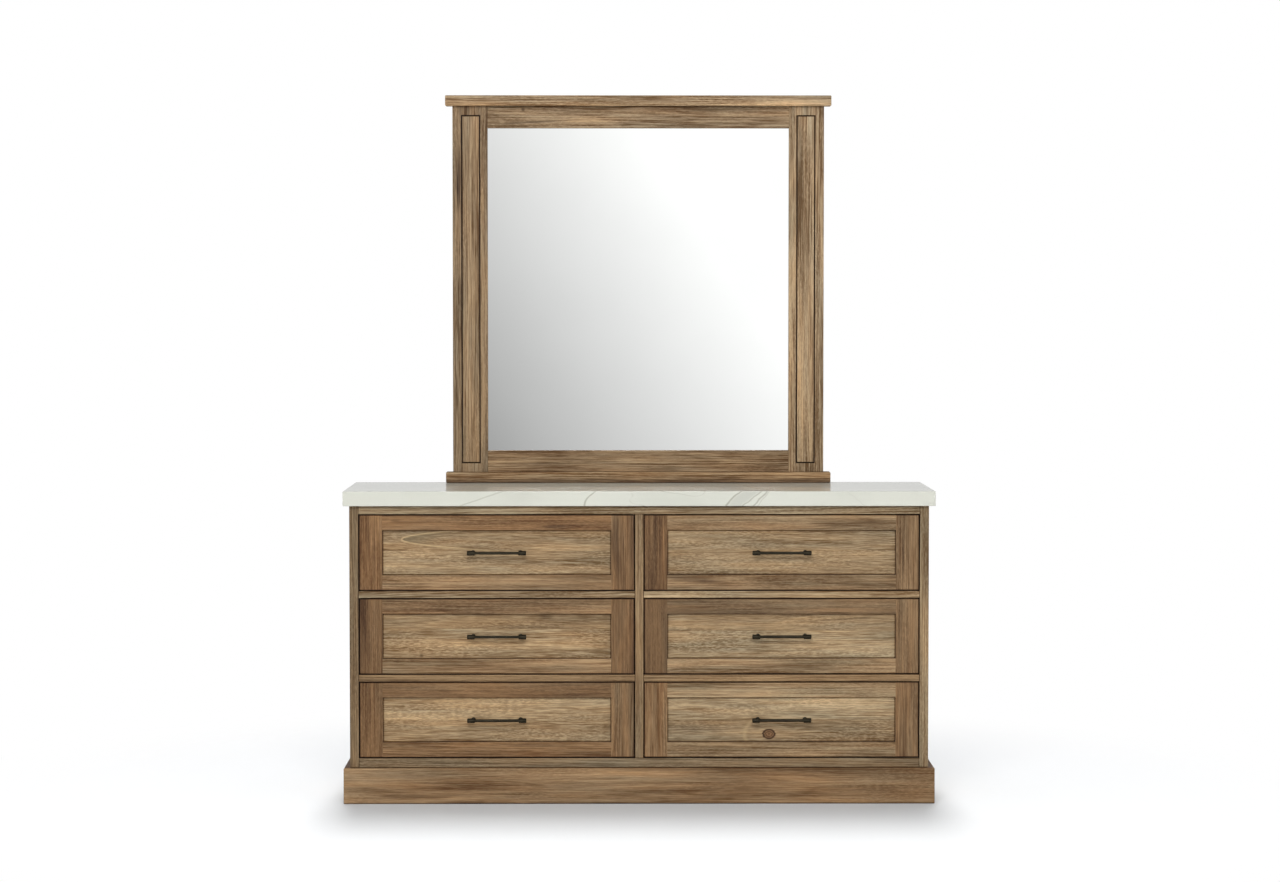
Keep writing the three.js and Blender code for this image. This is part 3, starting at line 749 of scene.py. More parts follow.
MAT_NOISE = (0.004, 0.004, 5.0)
MAT_SPECK_NOISE = (0.0016, 0.0016, 1.0)
MAT_CLOUD_NOISE = (0.14, 0.14, 2.0)
MAT_TONE_BAND = (0.7, 1.3)
MAT_SPECK_BAND = (0.62, 0.72)
MAT_SPECK_SHARE = 0.6
MAT_DARK_TINT = 0.72
MAT_PALE_TINT = 1.22
MAT_SPECK_TINT = 0.45
MAT_ROUGH_BAND = (0.3, 0.7, 0.86, 0.70)
MAT_RELIEF = 0.0004


def hardboard(g):
    """Hardboard: matted short fibres, darker specks and a faint cloud."""
    base = settings("timber").backing_colour[:]
    place = g.place()
    mat = g.noise(place, *MAT_NOISE)
    speck = g.band(g.noise(place, *MAT_SPECK_NOISE), *MAT_SPECK_BAND)
    tone = g.band(g.plus(mat, g.noise(place, *MAT_CLOUD_NOISE)), *MAT_TONE_BAND)
    board = g.mix(tone, tinted(base, MAT_DARK_TINT), tinted(base, MAT_PALE_TINT))
    board = g.mix(g.times(speck, MAT_SPECK_SHARE), board, tinted(base, MAT_SPECK_TINT))
    g.finish(board, g.band(mat, *MAT_ROUGH_BAND), g.bump(mat, MAT_RELIEF))


# Veins in the stone: start along X, lean and bow with height, drift with depth, width and strength.
VEINS = (
    (-0.1500, 0.05, 17.8, 0.45, 0.0050, 0.66),
    (-0.4865, 2.90, 0.0, 0.80, 0.0085, 0.42),
    (0.2325, 0.60, 12.7, 0.90, 0.0055, 0.70),
    (0.2800, 1.27, 0.0, 0.50, 0.0050, 0.55),
    (0.3060, 1.00, 0.0, -0.20, 0.0048, 0.60),
    (0.3170, 0.85, 0.0, -0.10, 0.0030, 0.32),
    (0.6100, -1.20, 0.0, -0.60, 0.0020, 0.20),
)
# The two veins that a darker patch lies between, and the side of each that it is on.
PATCH_VEINS = ((VEINS[2], 1), (VEINS[3], -1))
PATCH_SHARE = 0.5
PATCH_BAND = (-0.002, 0.012)
PATCH_TINT = 0.76
WOBBLE_NOISE = (0.035, 0.035, 3.0)
WOBBLE_REACH = 0.016
CLOUD_NOISE = (0.22, 0.12, 4.0)
CLOUD_BAND = (0.42, 0.68)
SPECK_NOISE = (0.0035, 0.0035, 2.0)
SPECK_BAND = (0.45, 0.75, 0.0, 0.28)
HAIR_NOISE = (0.42, 0.16, 3.0)
HAIR_REACH = 0.006
HAIR_SHARE = 0.4
HAIR_CLOUD_BAND = (0.45, 0.60)
STONE_ROUGH_BAND = (0.3, 0.7, 0.34, 0.26)
STONE_RELIEF = 0.00002
STONE_SHEEN = 0.10
POLISH_ROUGHNESS = 0.01


def polished_stone(g):
    """Polished pale stone with clouds, specks and thin veins."""
    stone = settings("stone")
    base, cloudy, veined = stone.body_colour[:], stone.cloud_colour[:], stone.vein_colour[:]
    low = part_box("stone_top")[0]
    place = g.place()
    x, y, z = g.split(place)
    cloud = g.noise(place, *CLOUD_NOISE)
    speck = g.noise(place, *SPECK_NOISE)
    wobble = g.swing(g.noise(place, *WOBBLE_NOISE), WOBBLE_REACH)
    height = g.minus(z, low.z)
    depth = g.minus(y, low.y)

    def beside(start, lean, bow, drift):
        """How far a point lies beside a vein, along X."""
        rise = g.times(height, g.plus(lean, g.times(height, bow)))
        run = g.minus(g.minus(x, start), rise)
        return g.plus(g.minus(run, g.times(depth, drift)), wobble)

    ground = g.mix(g.band(cloud, *CLOUD_BAND), base, cloudy)
    ground = g.mix(g.band(speck, *SPECK_BAND), ground, cloudy)
    inside = PATCH_SHARE
    for (*course, _, _), way in PATCH_VEINS:
        inside = g.times(inside, g.band(g.times(beside(*course), way), *PATCH_BAND))
    ground = g.mix(inside, ground, tinted(cloudy, PATCH_TINT))
    for *course, width, strength in VEINS:
        ground = g.mix(g.peak(beside(*course), width, strength), ground, veined)
    hair = g.peak(g.minus(g.noise(place, *HAIR_NOISE), MIDDLE), HAIR_REACH, HAIR_SHARE)
    ground = g.mix(g.times(hair, g.band(cloud, *HAIR_CLOUD_BAND)), ground, veined)
    coat = {"Coat Weight": stone.polish, "Coat Roughness": POLISH_ROUGHNESS}
    coat["Specular IOR Level"] = STONE_SHEEN
    g.finish(ground, g.band(speck, *STONE_ROUGH_BAND), g.bump(speck, STONE_RELIEF), **coat)


SCUFF_NOISE = (0.004, 0.0012, 4.0)
TARNISH_NOISE = (0.020, 0.020, 2.0)
SOFT_BAND = (0.3, 0.7)
WEAR_BAND = (0.55, 0.75, 0.0, 0.4)
HANDLE_TINTS = (0.85, 1.2)
HANDLE_ROUGHNESS = (0.56, 0.44)
HANDLE_RELIEF = 0.00003


def dark_metal(g):
    """Dark turned metal, a little paler where it is worn."""
    metal = settings("metal")
    place = g.place()
    scuff = g.noise(place, *SCUFF_NOISE)
    tarnish = g.band(g.noise(place, *TARNISH_NOISE), *SOFT_BAND)
    base = g.mix(tarnish, *(tinted(metal.handle_colour, tint) for tint in HANDLE_TINTS))
    base = g.mix(g.band(scuff, *WEAR_BAND), base, metal.wear_colour[:])
    roughness = g.band(scuff, *SOFT_BAND, *HANDLE_ROUGHNESS)
    g.finish(base, roughness, g.bump(scuff, HANDLE_RELIEF), Metallic=1.0)


def rubbed(g, base, noise, tints, roughness, relief, **extra):
    """A plain finish whose tone, gloss and height follow one noise."""
    rub = g.noise(g.place(), *noise)
    surface = g.mix(rub, *(tinted(base, tint) for tint in tints))
    g.finish(surface, g.band(rub, *SOFT_BAND, *roughness), g.bump(rub, relief), **extra)


SCRATCH_NOISE = (0.006, 0.0005, 3.0)
SCREW_TINTS = (0.75, 1.2)
SCREW_ROUGHNESS = (0.40, 0.26)
SCREW_RELIEF = 0.00002


def plated_steel(g):
    """Plated steel with fine scratches."""
    base = settings("metal").screw_colour
    rubbed(g, base, SCRATCH_NOISE, SCREW_TINTS, SCREW_ROUGHNESS, SCREW_RELIEF, Metallic=1.0)


HAZE_NOISE = (0.20, 0.20, 3.0)
HAZE_TINT = 0.985
HAZE_ROUGH_BAND = (0.3, 0.8, 0.004, 0.012)


def silvered_glass(g):
    """Silvered glass with a breath of haze."""
    silver = settings("mirror").silver_colour[:]
    haze = g.noise(g.place(), *HAZE_NOISE)
    base = g.mix(g.band(haze, *SOFT_BAND), silver, tinted(silver, HAZE_TINT))
    g.finish(base, g.band(haze, *HAZE_ROUGH_BAND), Metallic=1.0)


ROLLER_NOISE = (0.012, 0.012, 4.0)
PAINT_TINTS = (0.85, 1.12)
PAINT_ROUGHNESS = (0.60, 0.45)
PAINT_RELIEF = 0.00008


def rolled_paint(g):
    """Grey paint rolled over the silvering."""
    base = settings("mirror").paint_colour
    rubbed(g, base, ROLLER_NOISE, PAINT_TINTS, PAINT_ROUGHNESS, PAINT_RELIEF)


OTHER_FINISHES = {
    "backing_board": hardboard,
    "stone": polished_stone,
    "handle_metal": dark_metal,
    "screw_metal": plated_steel,
    "mirror_glass": silvered_glass,
    "back_paint": rolled_paint,
}
# Finishes that share a slot of the record.
RECORD_SLOTS = {"screw_metal": "handle_metal", "back_paint": "mirror_glass"}


def finish_for(slot):
    """The material of a finish, made when it is first asked for."""
    name = slot + "_finish"
    made = bpy.data.materials.get(name)
    if made is None:
        made = bpy.data.materials.new(name)
        if slot in TIMBER_COLOURS:
            timber(Graph(made), slot)
        else:
            OTHER_FINISHES[slot](Graph(made))
    return made


# Shapes.


def copy_of(node):
    """The merged mesh of a CAD node."""
    bm = bmesh.new()
    bm.from_mesh(frame["nodes"][node].data)
    bmesh.ops.remove_doubles(bm, verts=bm.verts, dist=settings("boards").merge_reach)
    return bm


def solid_box(low, high):
    bm = bmesh.new()
    size = Matrix.Diagonal((Vector(high) - Vector(low)).to_4d())
    middle = Matrix.Translation((Vector(low) + Vector(high)) / 2)
    bmesh.ops.create_cube(bm, size=1.0, matrix=middle @ size)
    return bm


def divide_at(bm, axis, place, outward=1, **options):
    """Cuts the mesh's faces along a plane across an axis."""
    point, normal = Vector(), Vector()
    point[axis] = place
    normal[axis] = outward
    geom = bm.verts[:] + bm.edges[:] + bm.faces[:]
    bmesh.ops.bisect_plane(bm, geom=geom, plane_co=point, plane_no=normal, **options)


def cut_from(node, *cuts):
    """A CAD node's mesh between planes, closed again: the axis, least and most of each cut."""
    bm = copy_of(node)
    for axis, low, high in cuts:
        for place, outward in ((low, -1), (high, 1)):
            if place is None:
                continue
            divide_at(bm, axis, place, outward, clear_outer=True)
            rim = [edge for edge in bm.edges if edge.is_boundary]
            bmesh.ops.holes_fill(bm, edges=rim, sides=0)
    return bm


def soften(bm, radius, segments):
    """Rounds the sharp edges, and marks the middle of each rounding as worn."""
    limits = {"verts": bm.verts, "edges": bm.edges}
    bmesh.ops.dissolve_limit(bm, angle_limit=FLAT_ANGLE, **limits)
    sharp = [edge for edge in bm.edges if edge.is_manifold and edge.calc_face_angle() > SHARP_ANGLE]
    made = bmesh.ops.bevel(
        bm,
        geom=sharp,
        offset=radius,
        offset_type="OFFSET",
        segments=segments,
        profile=0.5,
        affect="EDGES",
        clamp_overlap=True,
        material=-1,
    )
    rounded = set(made["faces"])
    layer = bm.verts.layers.float.new("edge")
    for face in rounded:
        face.smooth = True
    for vertex in bm.verts:
        vertex[layer] = 1.0 if all(face in rounded for face in vertex.link_faces) else 0.0
    return bm


def extent(bm):
    corners = [vertex.co for vertex in bm.verts]
    low = Vector(min(corner[axis] for corner in corners) for axis in (X, Y, Z))
    high = Vector(max(corner[axis] for corner in corners) for axis in (X, Y, Z))
    return low, high


def place_in_tree(name):
    """How a board leans in its tree, and where its middle lies from the tree's heart."""
    boards = settings("boards")
    chance = Random(OTHER_CUTS.get(name, name))
    depth = chance.uniform(boards.ring_depth_least, boards.ring_depth_most) * chance.choice((-1, 1))
    aside = chance.uniform(-boards.heart_spread, boards.heart_spread)
    heart = Vector((chance.uniform(0, boards.grain_run), aside, depth))
    lean = Matrix.Rotation(chance.uniform(-boards.grain_tilt, boards.grain_tilt), 3, "Y")
    return lean, heart


def mark_board(bm, name, grain, tone, glaze):
    """Writes each point's place in the tree, the board's tone, its marks, and how much painted shade it
    gets.
    """
    low, high = extent(bm)
    middle, size = (low + high) / 2, high - low
    across, through = sorted((axis for axis in (X, Y, Z) if axis != grain), key=lambda axis: -size[axis])
    aloft = X if grain == Z else Z
    lean, heart = place_in_tree(name)
    vectors, floats = bm.verts.layers.float_vector, bm.verts.layers.float
    board_layer, tone_layer, knot_layer, arc_layer = (
        vectors.new(key) for key in ("board", "tone", "knot", "arc")
    )
    painted_shade_layer = floats.new("glaze")
    mark_layers = [vectors.new(key) for key in MARK_LAYERS]
    for vertex in bm.verts:
        flat = vertex.co - middle
        vertex[board_layer] = lean @ Vector((flat[grain], flat[across], flat[through])) + heart
        vertex[tone_layer] = tone
        vertex[knot_layer] = NO_KNOT
        vertex[arc_layer] = NO_ARC
        vertex[painted_shade_layer] = glaze(vertex.co) if glaze else 0.0
        for layer in mark_layers:
            vertex[layer] = NO_MARK
        if name in KNOTS:
            place, half_length, half_height = KNOTS[name]
            away = vertex.co - Vector(place)
            vertex[knot_layer] = (away[grain] / half_length, away[across] / half_height, 0)
        if name in ARCS:
            tip, way = ARCS[name]
            away = vertex.co - Vector(tip)
            vertex[arc_layer] = (away[grain] * way, away[across], 0)
        for layer, mark in zip(mark_layers, MARKS.get(name, ())):
            place, half_length, half_width, slope, strength = mark
            away = vertex.co - Vector(place)
            off_line = away[aloft] - slope * away[grain]
            vertex[layer] = (away[grain] / half_length, off_line / half_width, strength)


def make_piece(name, bm, slot, body, node):
    """Turns a mesh into a piece that stands for a CAD node and rides on a body."""
    bmesh.ops.recalc_face_normals(bm, faces=bm.faces)
    mesh = bpy.data.meshes.new(name)
    bm.to_mesh(mesh)
    bm.free()
    mesh.materials.append(finish_for(slot))
    piece = bpy.data.objects.new(name, mesh)
    bpy.context.scene.collection.objects.link(piece)
    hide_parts(node)
    RECORD_SLOTS.get(slot, slot)
    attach(piece, body)


# Painted shade.


def gap_shade(face, side=None):
    """Painted shade on the sides of the narrow gaps that open in a front face, or on one side only."""
    boards = settings("boards")
    start, end = face + boards.gap_shade_start, face + boards.gap_shade_reach + GRAZE

    def glaze(point):
        if side is not None and abs(point.x - side) > boards.joint_round / 2:
            return 0.0
        return 1.0 if start < point.y < end else 0.0

    return glaze


def gap_shade_ends(face):
    """Where a board is divided so that the painted shade in a gap can end."""
    boards = settings("boards")
    reach = face + boards.gap_shade_reach
    return ((Y, reach), (Y, reach + boards.gap_shade_fade))


def front_rim_shade(box):
    """Painted shade on the edges of a drawer front, with some of it on the rim of its face."""
    low, high = box
    boards = settings("boards")

    def glaze(point):
        if point.y < low.y + boards.gap_shade_start:
            inset = min(point.x - low.x, high.x - point.x, point.z - low.z, high.z - point.z)
            return RIM_SHADE if inset < boards.joint_round + boards.rim_shade_width / 2 else 0.0
        return 1.0 if point.y < high.y - boards.gap_shade_start else 0.0

    return glaze


def rim_shade_ends(box):
    """Where a drawer front is divided so that the painted shade on its rim can end."""
    low, high = box
    boards = settings("boards")
    inset = boards.joint_round + boards.rim_shade_width
    return ((X, low.x + inset), (X, high.x - inset), (Z, low.z + inset), (Z, high.z - inset))


def within(point, low, high, spare):
    """Whether a point lies between two corners as seen from the front, with a distance to spare."""
    return all(low[axis] - spare < point[axis] < high[axis] + spare for axis in (X, Z))


def panel_edge_shade(low, high):
    """Painted shade along a panel's edge, where it meets the frame, outside two corners."""

    def glaze(point):
        return 0.0 if within(point, low, high, GRAZE) else 1.0

    return glaze


def pocket_shade(face, low, high):
    """Painted shade in the groove round an inlay strip that lies between two corners."""
    reach = settings("boards").edge_shade_reach

    def glaze(point):
        return 1.0 if within(point, low, high, reach) and point.y > face + 2 * GRAZE else 0.0

    return glaze


def ledge_and_foot_shade(box):
    """Painted shade on top of the plinth under the body, and a painted contact shadow along its foot."""
    low, high = box

    def glaze(point):
        if point.z > high.z - GRAZE:
            return LEDGE_SHADE
        return FOOT_SHADE if point.z < low.z + FOOT_REACH else 0.0

    return glaze


# Boards.


def add_board(name, bm, grain, slot, body, node, tone=PLAIN_TONE, radius=None, glaze=None, ends=()):
    """Rounds, marks and adds one board, divided at the places where its painted shade ends."""
    boards = settings("boards")
    soften(bm, boards.edge_round if radius is None else radius, boards.round_segments)
    for axis, place in ends:
        divide_at(bm, axis, place)
    mark_board(bm, name, grain, tone, glaze)
    make_piece(name, bm, slot, body, node)


def add_whole(node, grain, slot="hidden_wood", tone=PLAIN_TONE, ending="board", **edges):
    """Adds a CAD node of the carcass as one board."""
    add_board(f"{node}_{ending}", copy_of(node), grain, slot, CARCASS, node, tone, **edges)


def add_staves(node, tone):
    """Adds a side panel as glued-up boards from front to back."""
    boards = settings("boards")
    low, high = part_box(node)
    count = boards.stave_count
    width = (high.y - low.y) / count
    lightness, warmth, streaks = tone
    for index in range(count):
        start = low.y + index * width
        cut = (Y, start if index else None, start + width if index < count - 1 else None)
        edges = {"radius": boards.joint_round}
        if index:
            lightness = 1 + STAVE_STEP_SHARES[index % len(STAVE_STEP_SHARES)]
        else:
            inside = high.x if low.x < 0 else low.x
            edges.update(glaze=gap_shade(low.y, inside), ends=gap_shade_ends(low.y))
        name = f"{node}_stave_{index + 1}"
        stave = cut_from(node, cut)
        add_board(name, stave, Z, "body_wood", CARCASS, node, (lightness, warmth, streaks), **edges)


# Turned pieces, with outlines as shares of their radii and lengths.

# A screw head from the recess outwards.
SCREW_SHARES = (
    (0.0, 0.30), (0.20, 0.34), (0.34, 0.92), (0.40, 1.0), (0.70, 0.86),
    (0.92, 0.50), (1.0, 0.12), (1.0, 0.0), (0.0, 0.0),
)
RECESS_REACH_SHARE = 0.38
RECESS_LOBE_SHARE = 0.42
RECESS_LOBES = 4
# A handle from its end inwards, and its posts from the bar to the drawer front.
COLLAR_SHARES = (
    (0.0, 0.0), (0.55, 0.0), (0.80, 0.012), (0.94, 0.040), (1.0, 0.080), (1.0, 0.70),
    (0.93, 0.72), (0.93, 0.77), (1.0, 0.79), (1.0, 0.95), (0.94, 0.985), (0.84, 1.0),
)
BAR_FILLET_SHARE = 1.12
BAR_START_SHARE = 1.06
POST_TOP_SHARE = 0.9
POST_SHARES = ((0.9, 0.05), (0.86, 0.35), (0.86, 0.70), (0.94, 0.90), (1.15, 1.0))
ROSE_SHARES = ((0.80, 0.0), (0.93, 0.08), (0.93, 0.35), (1.0, 0.42), (1.0, 0.92), (0.97, 1.0))

# Screws along the back panel, and up a support or along a backing strip as shares of its length.
BACK_SCREWS = 8
STRIP_SCREW_SHARES = (0.08, 0.36, 0.64, 0.92)
SUPPORT_SCREW_SHARES = (0.04, 0.13, 0.22, 0.40, 0.66, 0.95)


def aim(bm, place, direction):
    """Turns a mesh from upright to a direction, and moves it to a place."""
    turn = Vector(UPWARDS).rotation_difference(Vector(direction)).to_matrix().to_4x4()
    bmesh.ops.transform(bm, matrix=Matrix.Translation(place) @ turn, verts=bm.verts)


def turned(profile, place=(0, 0, 0), direction=UPWARDS):
    """Spins a profile of radius and height about a line that leaves place along direction."""
    bm = bmesh.new()
    points = [bm.verts.new((radius, 0, height)) for radius, height in profile]
    lines = [bm.edges.new(pair) for pair in zip(points, points[1:])]
    bmesh.ops.spin(
        bm,
        geom=points + lines,
        cent=(0, 0, 0),
        axis=UPWARDS,
        angle=FULL_TURN,
        steps=settings("metal").turned_steps,
        use_merge=True,
    )
    bmesh.ops.remove_doubles(bm, verts=bm.verts, dist=settings("boards").merge_reach)
    aim(bm, place, direction)
    bmesh.ops.recalc_face_normals(bm, faces=bm.faces)
    for face in bm.faces:
        face.smooth = True
    for edge in bm.edges:
        edge.smooth = edge.calc_face_angle(0) < SHARP_ANGLE
    return bm


def add_screw(name, place, body, node):
    """A round screw head with a cross recess, which faces the back."""
    metal = settings("metal")
    radius, rise = metal.screw_radius, metal.screw_rise
    screw = turned([(radius * out, rise * up) for out, up in SCREW_SHARES])
    for vertex in screw.verts:
        if 0 < vertex.co.xy.length < radius * RECESS_REACH_SHARE:
            bearing = math.atan2(vertex.co.y, vertex.co.x)
            lobe = 1 + RECESS_LOBE_SHARE * math.cos(RECESS_LOBES * bearing)
            vertex.co.x *= lobe
            vertex.co.y *= lobe
    aim(screw, place, BACKWARDS)
    make_piece(name, screw, "screw_metal", body, node)


def add_bar(node, drawer, start, run):
    """A handle's bar, with a collar at each end."""
    metal = settings("metal")
    collar, bar, end = metal.collar_radius, metal.bar_radius, metal.collar_length
    half = [(collar * out, end * along) for out, along in COLLAR_SHARES]
    half += [(bar * BAR_FILLET_SHARE, end), (bar, end * BAR_START_SHARE)]
    profile = half + [(radius, run - along) for radius, along in reversed(half)]
    make_piece(node + "_bar", turned(profile, start, RIGHTWARDS), "handle_metal", drawer, node)


def add_post(name, drawer, node, start, run):
    """A handle's post, with the rose at its foot."""
    metal = settings("metal")
    post, rose, thick = metal.post_radius, metal.rose_radius, metal.rose_thickness
    profile = [(0, 0), (post * POST_TOP_SHARE, 0)]
    profile += [(post * out, (run - thick) * along) for out, along in POST_SHARES]
    profile += [(rose * out, run - thick * (1 - along)) for out, along in ROSE_SHARES]
    profile += [(0, run)]
    make_piece(name, turned(profile, start, BACKWARDS), "handle_metal", drawer, node)


# Operators.


class Build:
    """What the building operators share."""

    bl_options = {"REGISTER", "UNDO"}


class DRESSER_OT_plinth(Build, bpy.types.Operator):
    """Plinth boards and the bearer under the divider"""

    bl_idname = "dresser.plinth"
    bl_label = "Plinth"

    def execute(self, context):
        for node, tone in PLINTH_TONES.items():
            grain = X if node == "plinth_front" else Y
            add_whole(node, grain, "plinth_wood", tone, glaze=ledge_and_foot_shade(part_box(node)))
        add_whole("plinth_back", X)
        add_whole("centre_bearer", Y)
        return {"FINISHED"}


class DRESSER_OT_body(Build, bpy.types.Operator):
    """Side panels, divider, rails, bottom, back panel and stretcher"""

    bl_idname = "dresser.body"
    bl_label = "Body"

    def execute(self, context):
        boards = settings("boards")
        for node, tone in CARCASS_TONES.items():
            if node.startswith("side_panel"):
                add_staves(node, tone)
                continue
            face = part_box(node)[0].y
            grain = Z if node == "centre_divider" else X
            edges = {"radius": boards.joint_round, "glaze": gap_shade(face), "ends": gap_shade_ends(face)}
            add_whole(node, grain, "body_wood", tone, **edges)
        add_whole("bottom_panel", X)
        add_whole("back_stretcher", X)
        back = soften(copy_of("back_panel"), boards.joint_round, boards.round_segments)
        make_piece("back_panel_board", back, "backing_board", CARCASS, "back_panel")
        low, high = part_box("back_panel")
        margin = boards.box_wall
        for index in range(BACK_SCREWS):
            across = low.x + margin + (high.x - low.x - 2 * margin) * index / (BACK_SCREWS - 1)
            for row, height in (("low", low.z + margin), ("high", high.z - margin)):
                add_screw(f"back_screw_{row}_{index + 1}", (across, high.y, height), CARCASS, "back_panel")
        return {"FINISHED"}


class DRESSER_OT_guides(Build, bpy.types.Operator):
    """Wooden bars on which the drawers run"""

    bl_idname = "dresser.guides"
    bl_label = "Drawer guides"

    def execute(self, context):
        for drawer in DRAWERS:
            add_whole(drawer.replace("drawer", "guide"), Y, ending="bar")
        return {"FINISHED"}


class DRESSER_OT_drawer_fronts(Build, bpy.types.Operator):
    """Two stiles, two rails and a panel of two boards for each drawer"""

    bl_idname = "dresser.drawer_fronts"
    bl_label = "Drawer fronts"

    def execute(self, context):
        boards = settings("boards")
        entry = Vector((boards.groove_entry, 0, boards.groove_entry))
        for drawer in DRAWERS:
            node = drawer + "_frame"
            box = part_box(node)
            panel_low, panel_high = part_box(drawer + "_panel")
            low, high = panel_low + entry, panel_high - entry
            middle = (low.z + high.z) / 2
            between = (X, low.x, high.x)
            parts = {
                "left_stile": (Z, [(X, None, low.x)]),
                "right_stile": (Z, [(X, high.x, None)]),
                "top_rail": (X, [between, (Z, middle, None)]),
                "bottom_rail": (X, [between, (Z, None, middle)]),
            }
            tones = dict(zip(FRONT_BOARDS, FRONT_TONES[drawer]))
            edges = {"radius": boards.joint_round, "glaze": front_rim_shade(box), "ends": rim_shade_ends(box)}
            for part, (grain, cuts) in parts.items():
                name = f"{node}_{part}"
                shape = cut_from(node, *cuts)
                add_board(name, shape, grain, "front_frame_wood", drawer, node, tones[part], **edges)
            self.add_panel(drawer, tones, low, high)
        return {"FINISHED"}

    def add_panel(self, drawer, tones, low, high):
        """The panel that shows between two corners, glued up from an upper and a lower board."""
        boards = settings("boards")
        node = drawer + "_panel"
        seam = low.z + SEAM_SHARES[drawer] * (high.z - low.z)
        inset = Vector((boards.edge_shade_reach, 0, boards.edge_shade_reach))
        corners = (low, low + inset, high - inset, high)
        edges = {
            "radius": boards.joint_round,
            "glaze": panel_edge_shade(low + inset, high - inset),
            "ends": [(axis, corner[axis]) for axis in (X, Z) for corner in corners],
        }
        for part, cut in (("top_board", (Z, seam, None)), ("low_board", (Z, None, seam))):
            name = f"{node}_{part}"
            add_board(name, cut_from(node, cut), X, "front_panel_wood", drawer, node, tones[part], **edges)


class DRESSER_OT_drawer_boxes(Build, bpy.types.Operator):
    """Sides, front, back, bottom and channel strips of each drawer box"""

    bl_idname = "dresser.drawer_boxes"
    bl_label = "Drawer boxes"

    def execute(self, context):
        boards = settings("boards")
        for drawer in DRAWERS:
            node = drawer + "_box"
            low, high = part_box(node)
            left, right = low.x + boards.box_wall, high.x - boards.box_wall
            front, back = low.y + boards.box_wall, high.y - boards.box_wall
            middle = (low.x + high.x) / 2
            underside = low.z + boards.channel_height
            floor_top = underside + boards.box_bottom
            strip = ((Y, front, None), (Z, None, underside))
            parts = {
                "left_side": (Y, [(X, None, left)]),
                "right_side": (Y, [(X, right, None)]),
                "front": (X, [(X, left, right), (Y, None, front)]),
                "back": (X, [(X, left, right), (Y, back, None), (Z, underside, None)]),
                "bottom": (X, [(X, left, right), (Y, front, back), (Z, underside, floor_top)]),
                "left_strip": (Y, [(X, left, middle), *strip]),
                "right_strip": (Y, [(X, middle, right), *strip]),
            }
            for part, (grain, cuts) in parts.items():
                shape = cut_from(node, *cuts)
                board = solid_box(*extent(shape))
                shape.free()
                name = f"{node}_{part}"
                add_board(name, board, grain, "box_wood", drawer, node, radius=boards.joint_round)
        return {"FINISHED"}


class DRESSER_OT_handles(Build, bpy.types.Operator):
    """A turned bar on two posts for each drawer, with its screws"""

    bl_idname = "dresser.handles"
    bl_label = "Handles"

    def execute(self, context):
        metal = settings("metal")
        for drawer in DRAWERS:
            node = drawer + "_handle"
            low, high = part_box(node)
            middle = (low + high) / 2
            depth = low.y + metal.collar_radius
            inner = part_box(drawer + "_box")[0].y + settings("boards").box_wall
            add_bar(node, drawer, Vector((low.x, depth, middle.z)), high.x - low.x)
            for side, sign in zip(SIDES, (-1, 1)):
                across = middle.x + sign * metal.post_pitch / 2
                start = Vector((across, depth, middle.z))
                add_post(f"{node}_{side}_post", drawer, node, start, high.y - depth)
                add_screw(f"{node}_{side}_screw", (across, inner, middle.z), drawer, node)
        return {"FINISHED"}


class DRESSER_OT_stone_top(Build, bpy.types.Operator):
    """Polished slab on the body"""

    bl_idname = "dresser.stone_top"
    bl_label = "Stone top"

    def execute(self, context):
        stone = settings("stone")
        slab = soften(solid_box(*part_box("stone_top")), stone.edge_round, stone.round_segments)
        make_piece("stone_top_slab", slab, "stone", CARCASS, "stone_top")
        return {"FINISHED"}


class DRESSER_OT_mirror_frame(Build, bpy.types.Operator):
    """Base, cap, stiles, rails and inlay strips of the mirror"""

    bl_idname = "dresser.mirror_frame"
    bl_label = "Mirror frame"

    def execute(self, context):
        boards = settings("boards")
        for node, tone in MIRROR_TONES.items():
            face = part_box(node)[0].y
            grain, radius, glaze = X, boards.joint_round, None
            if node in ("mirror_base", "mirror_cap"):
                radius = boards.edge_round
            if "stile" in node:
                grain, glaze = Z, pocket_shade(face, *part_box(node.replace("stile", "inlay")))
            if "inlay" in node:
                grain, glaze = Z, gap_shade(face)
            add_whole(node, grain, "mirror_wood", tone, radius=radius, glaze=glaze)
        return {"FINISHED"}


PAINT_ROUND_SHARE = 0.25


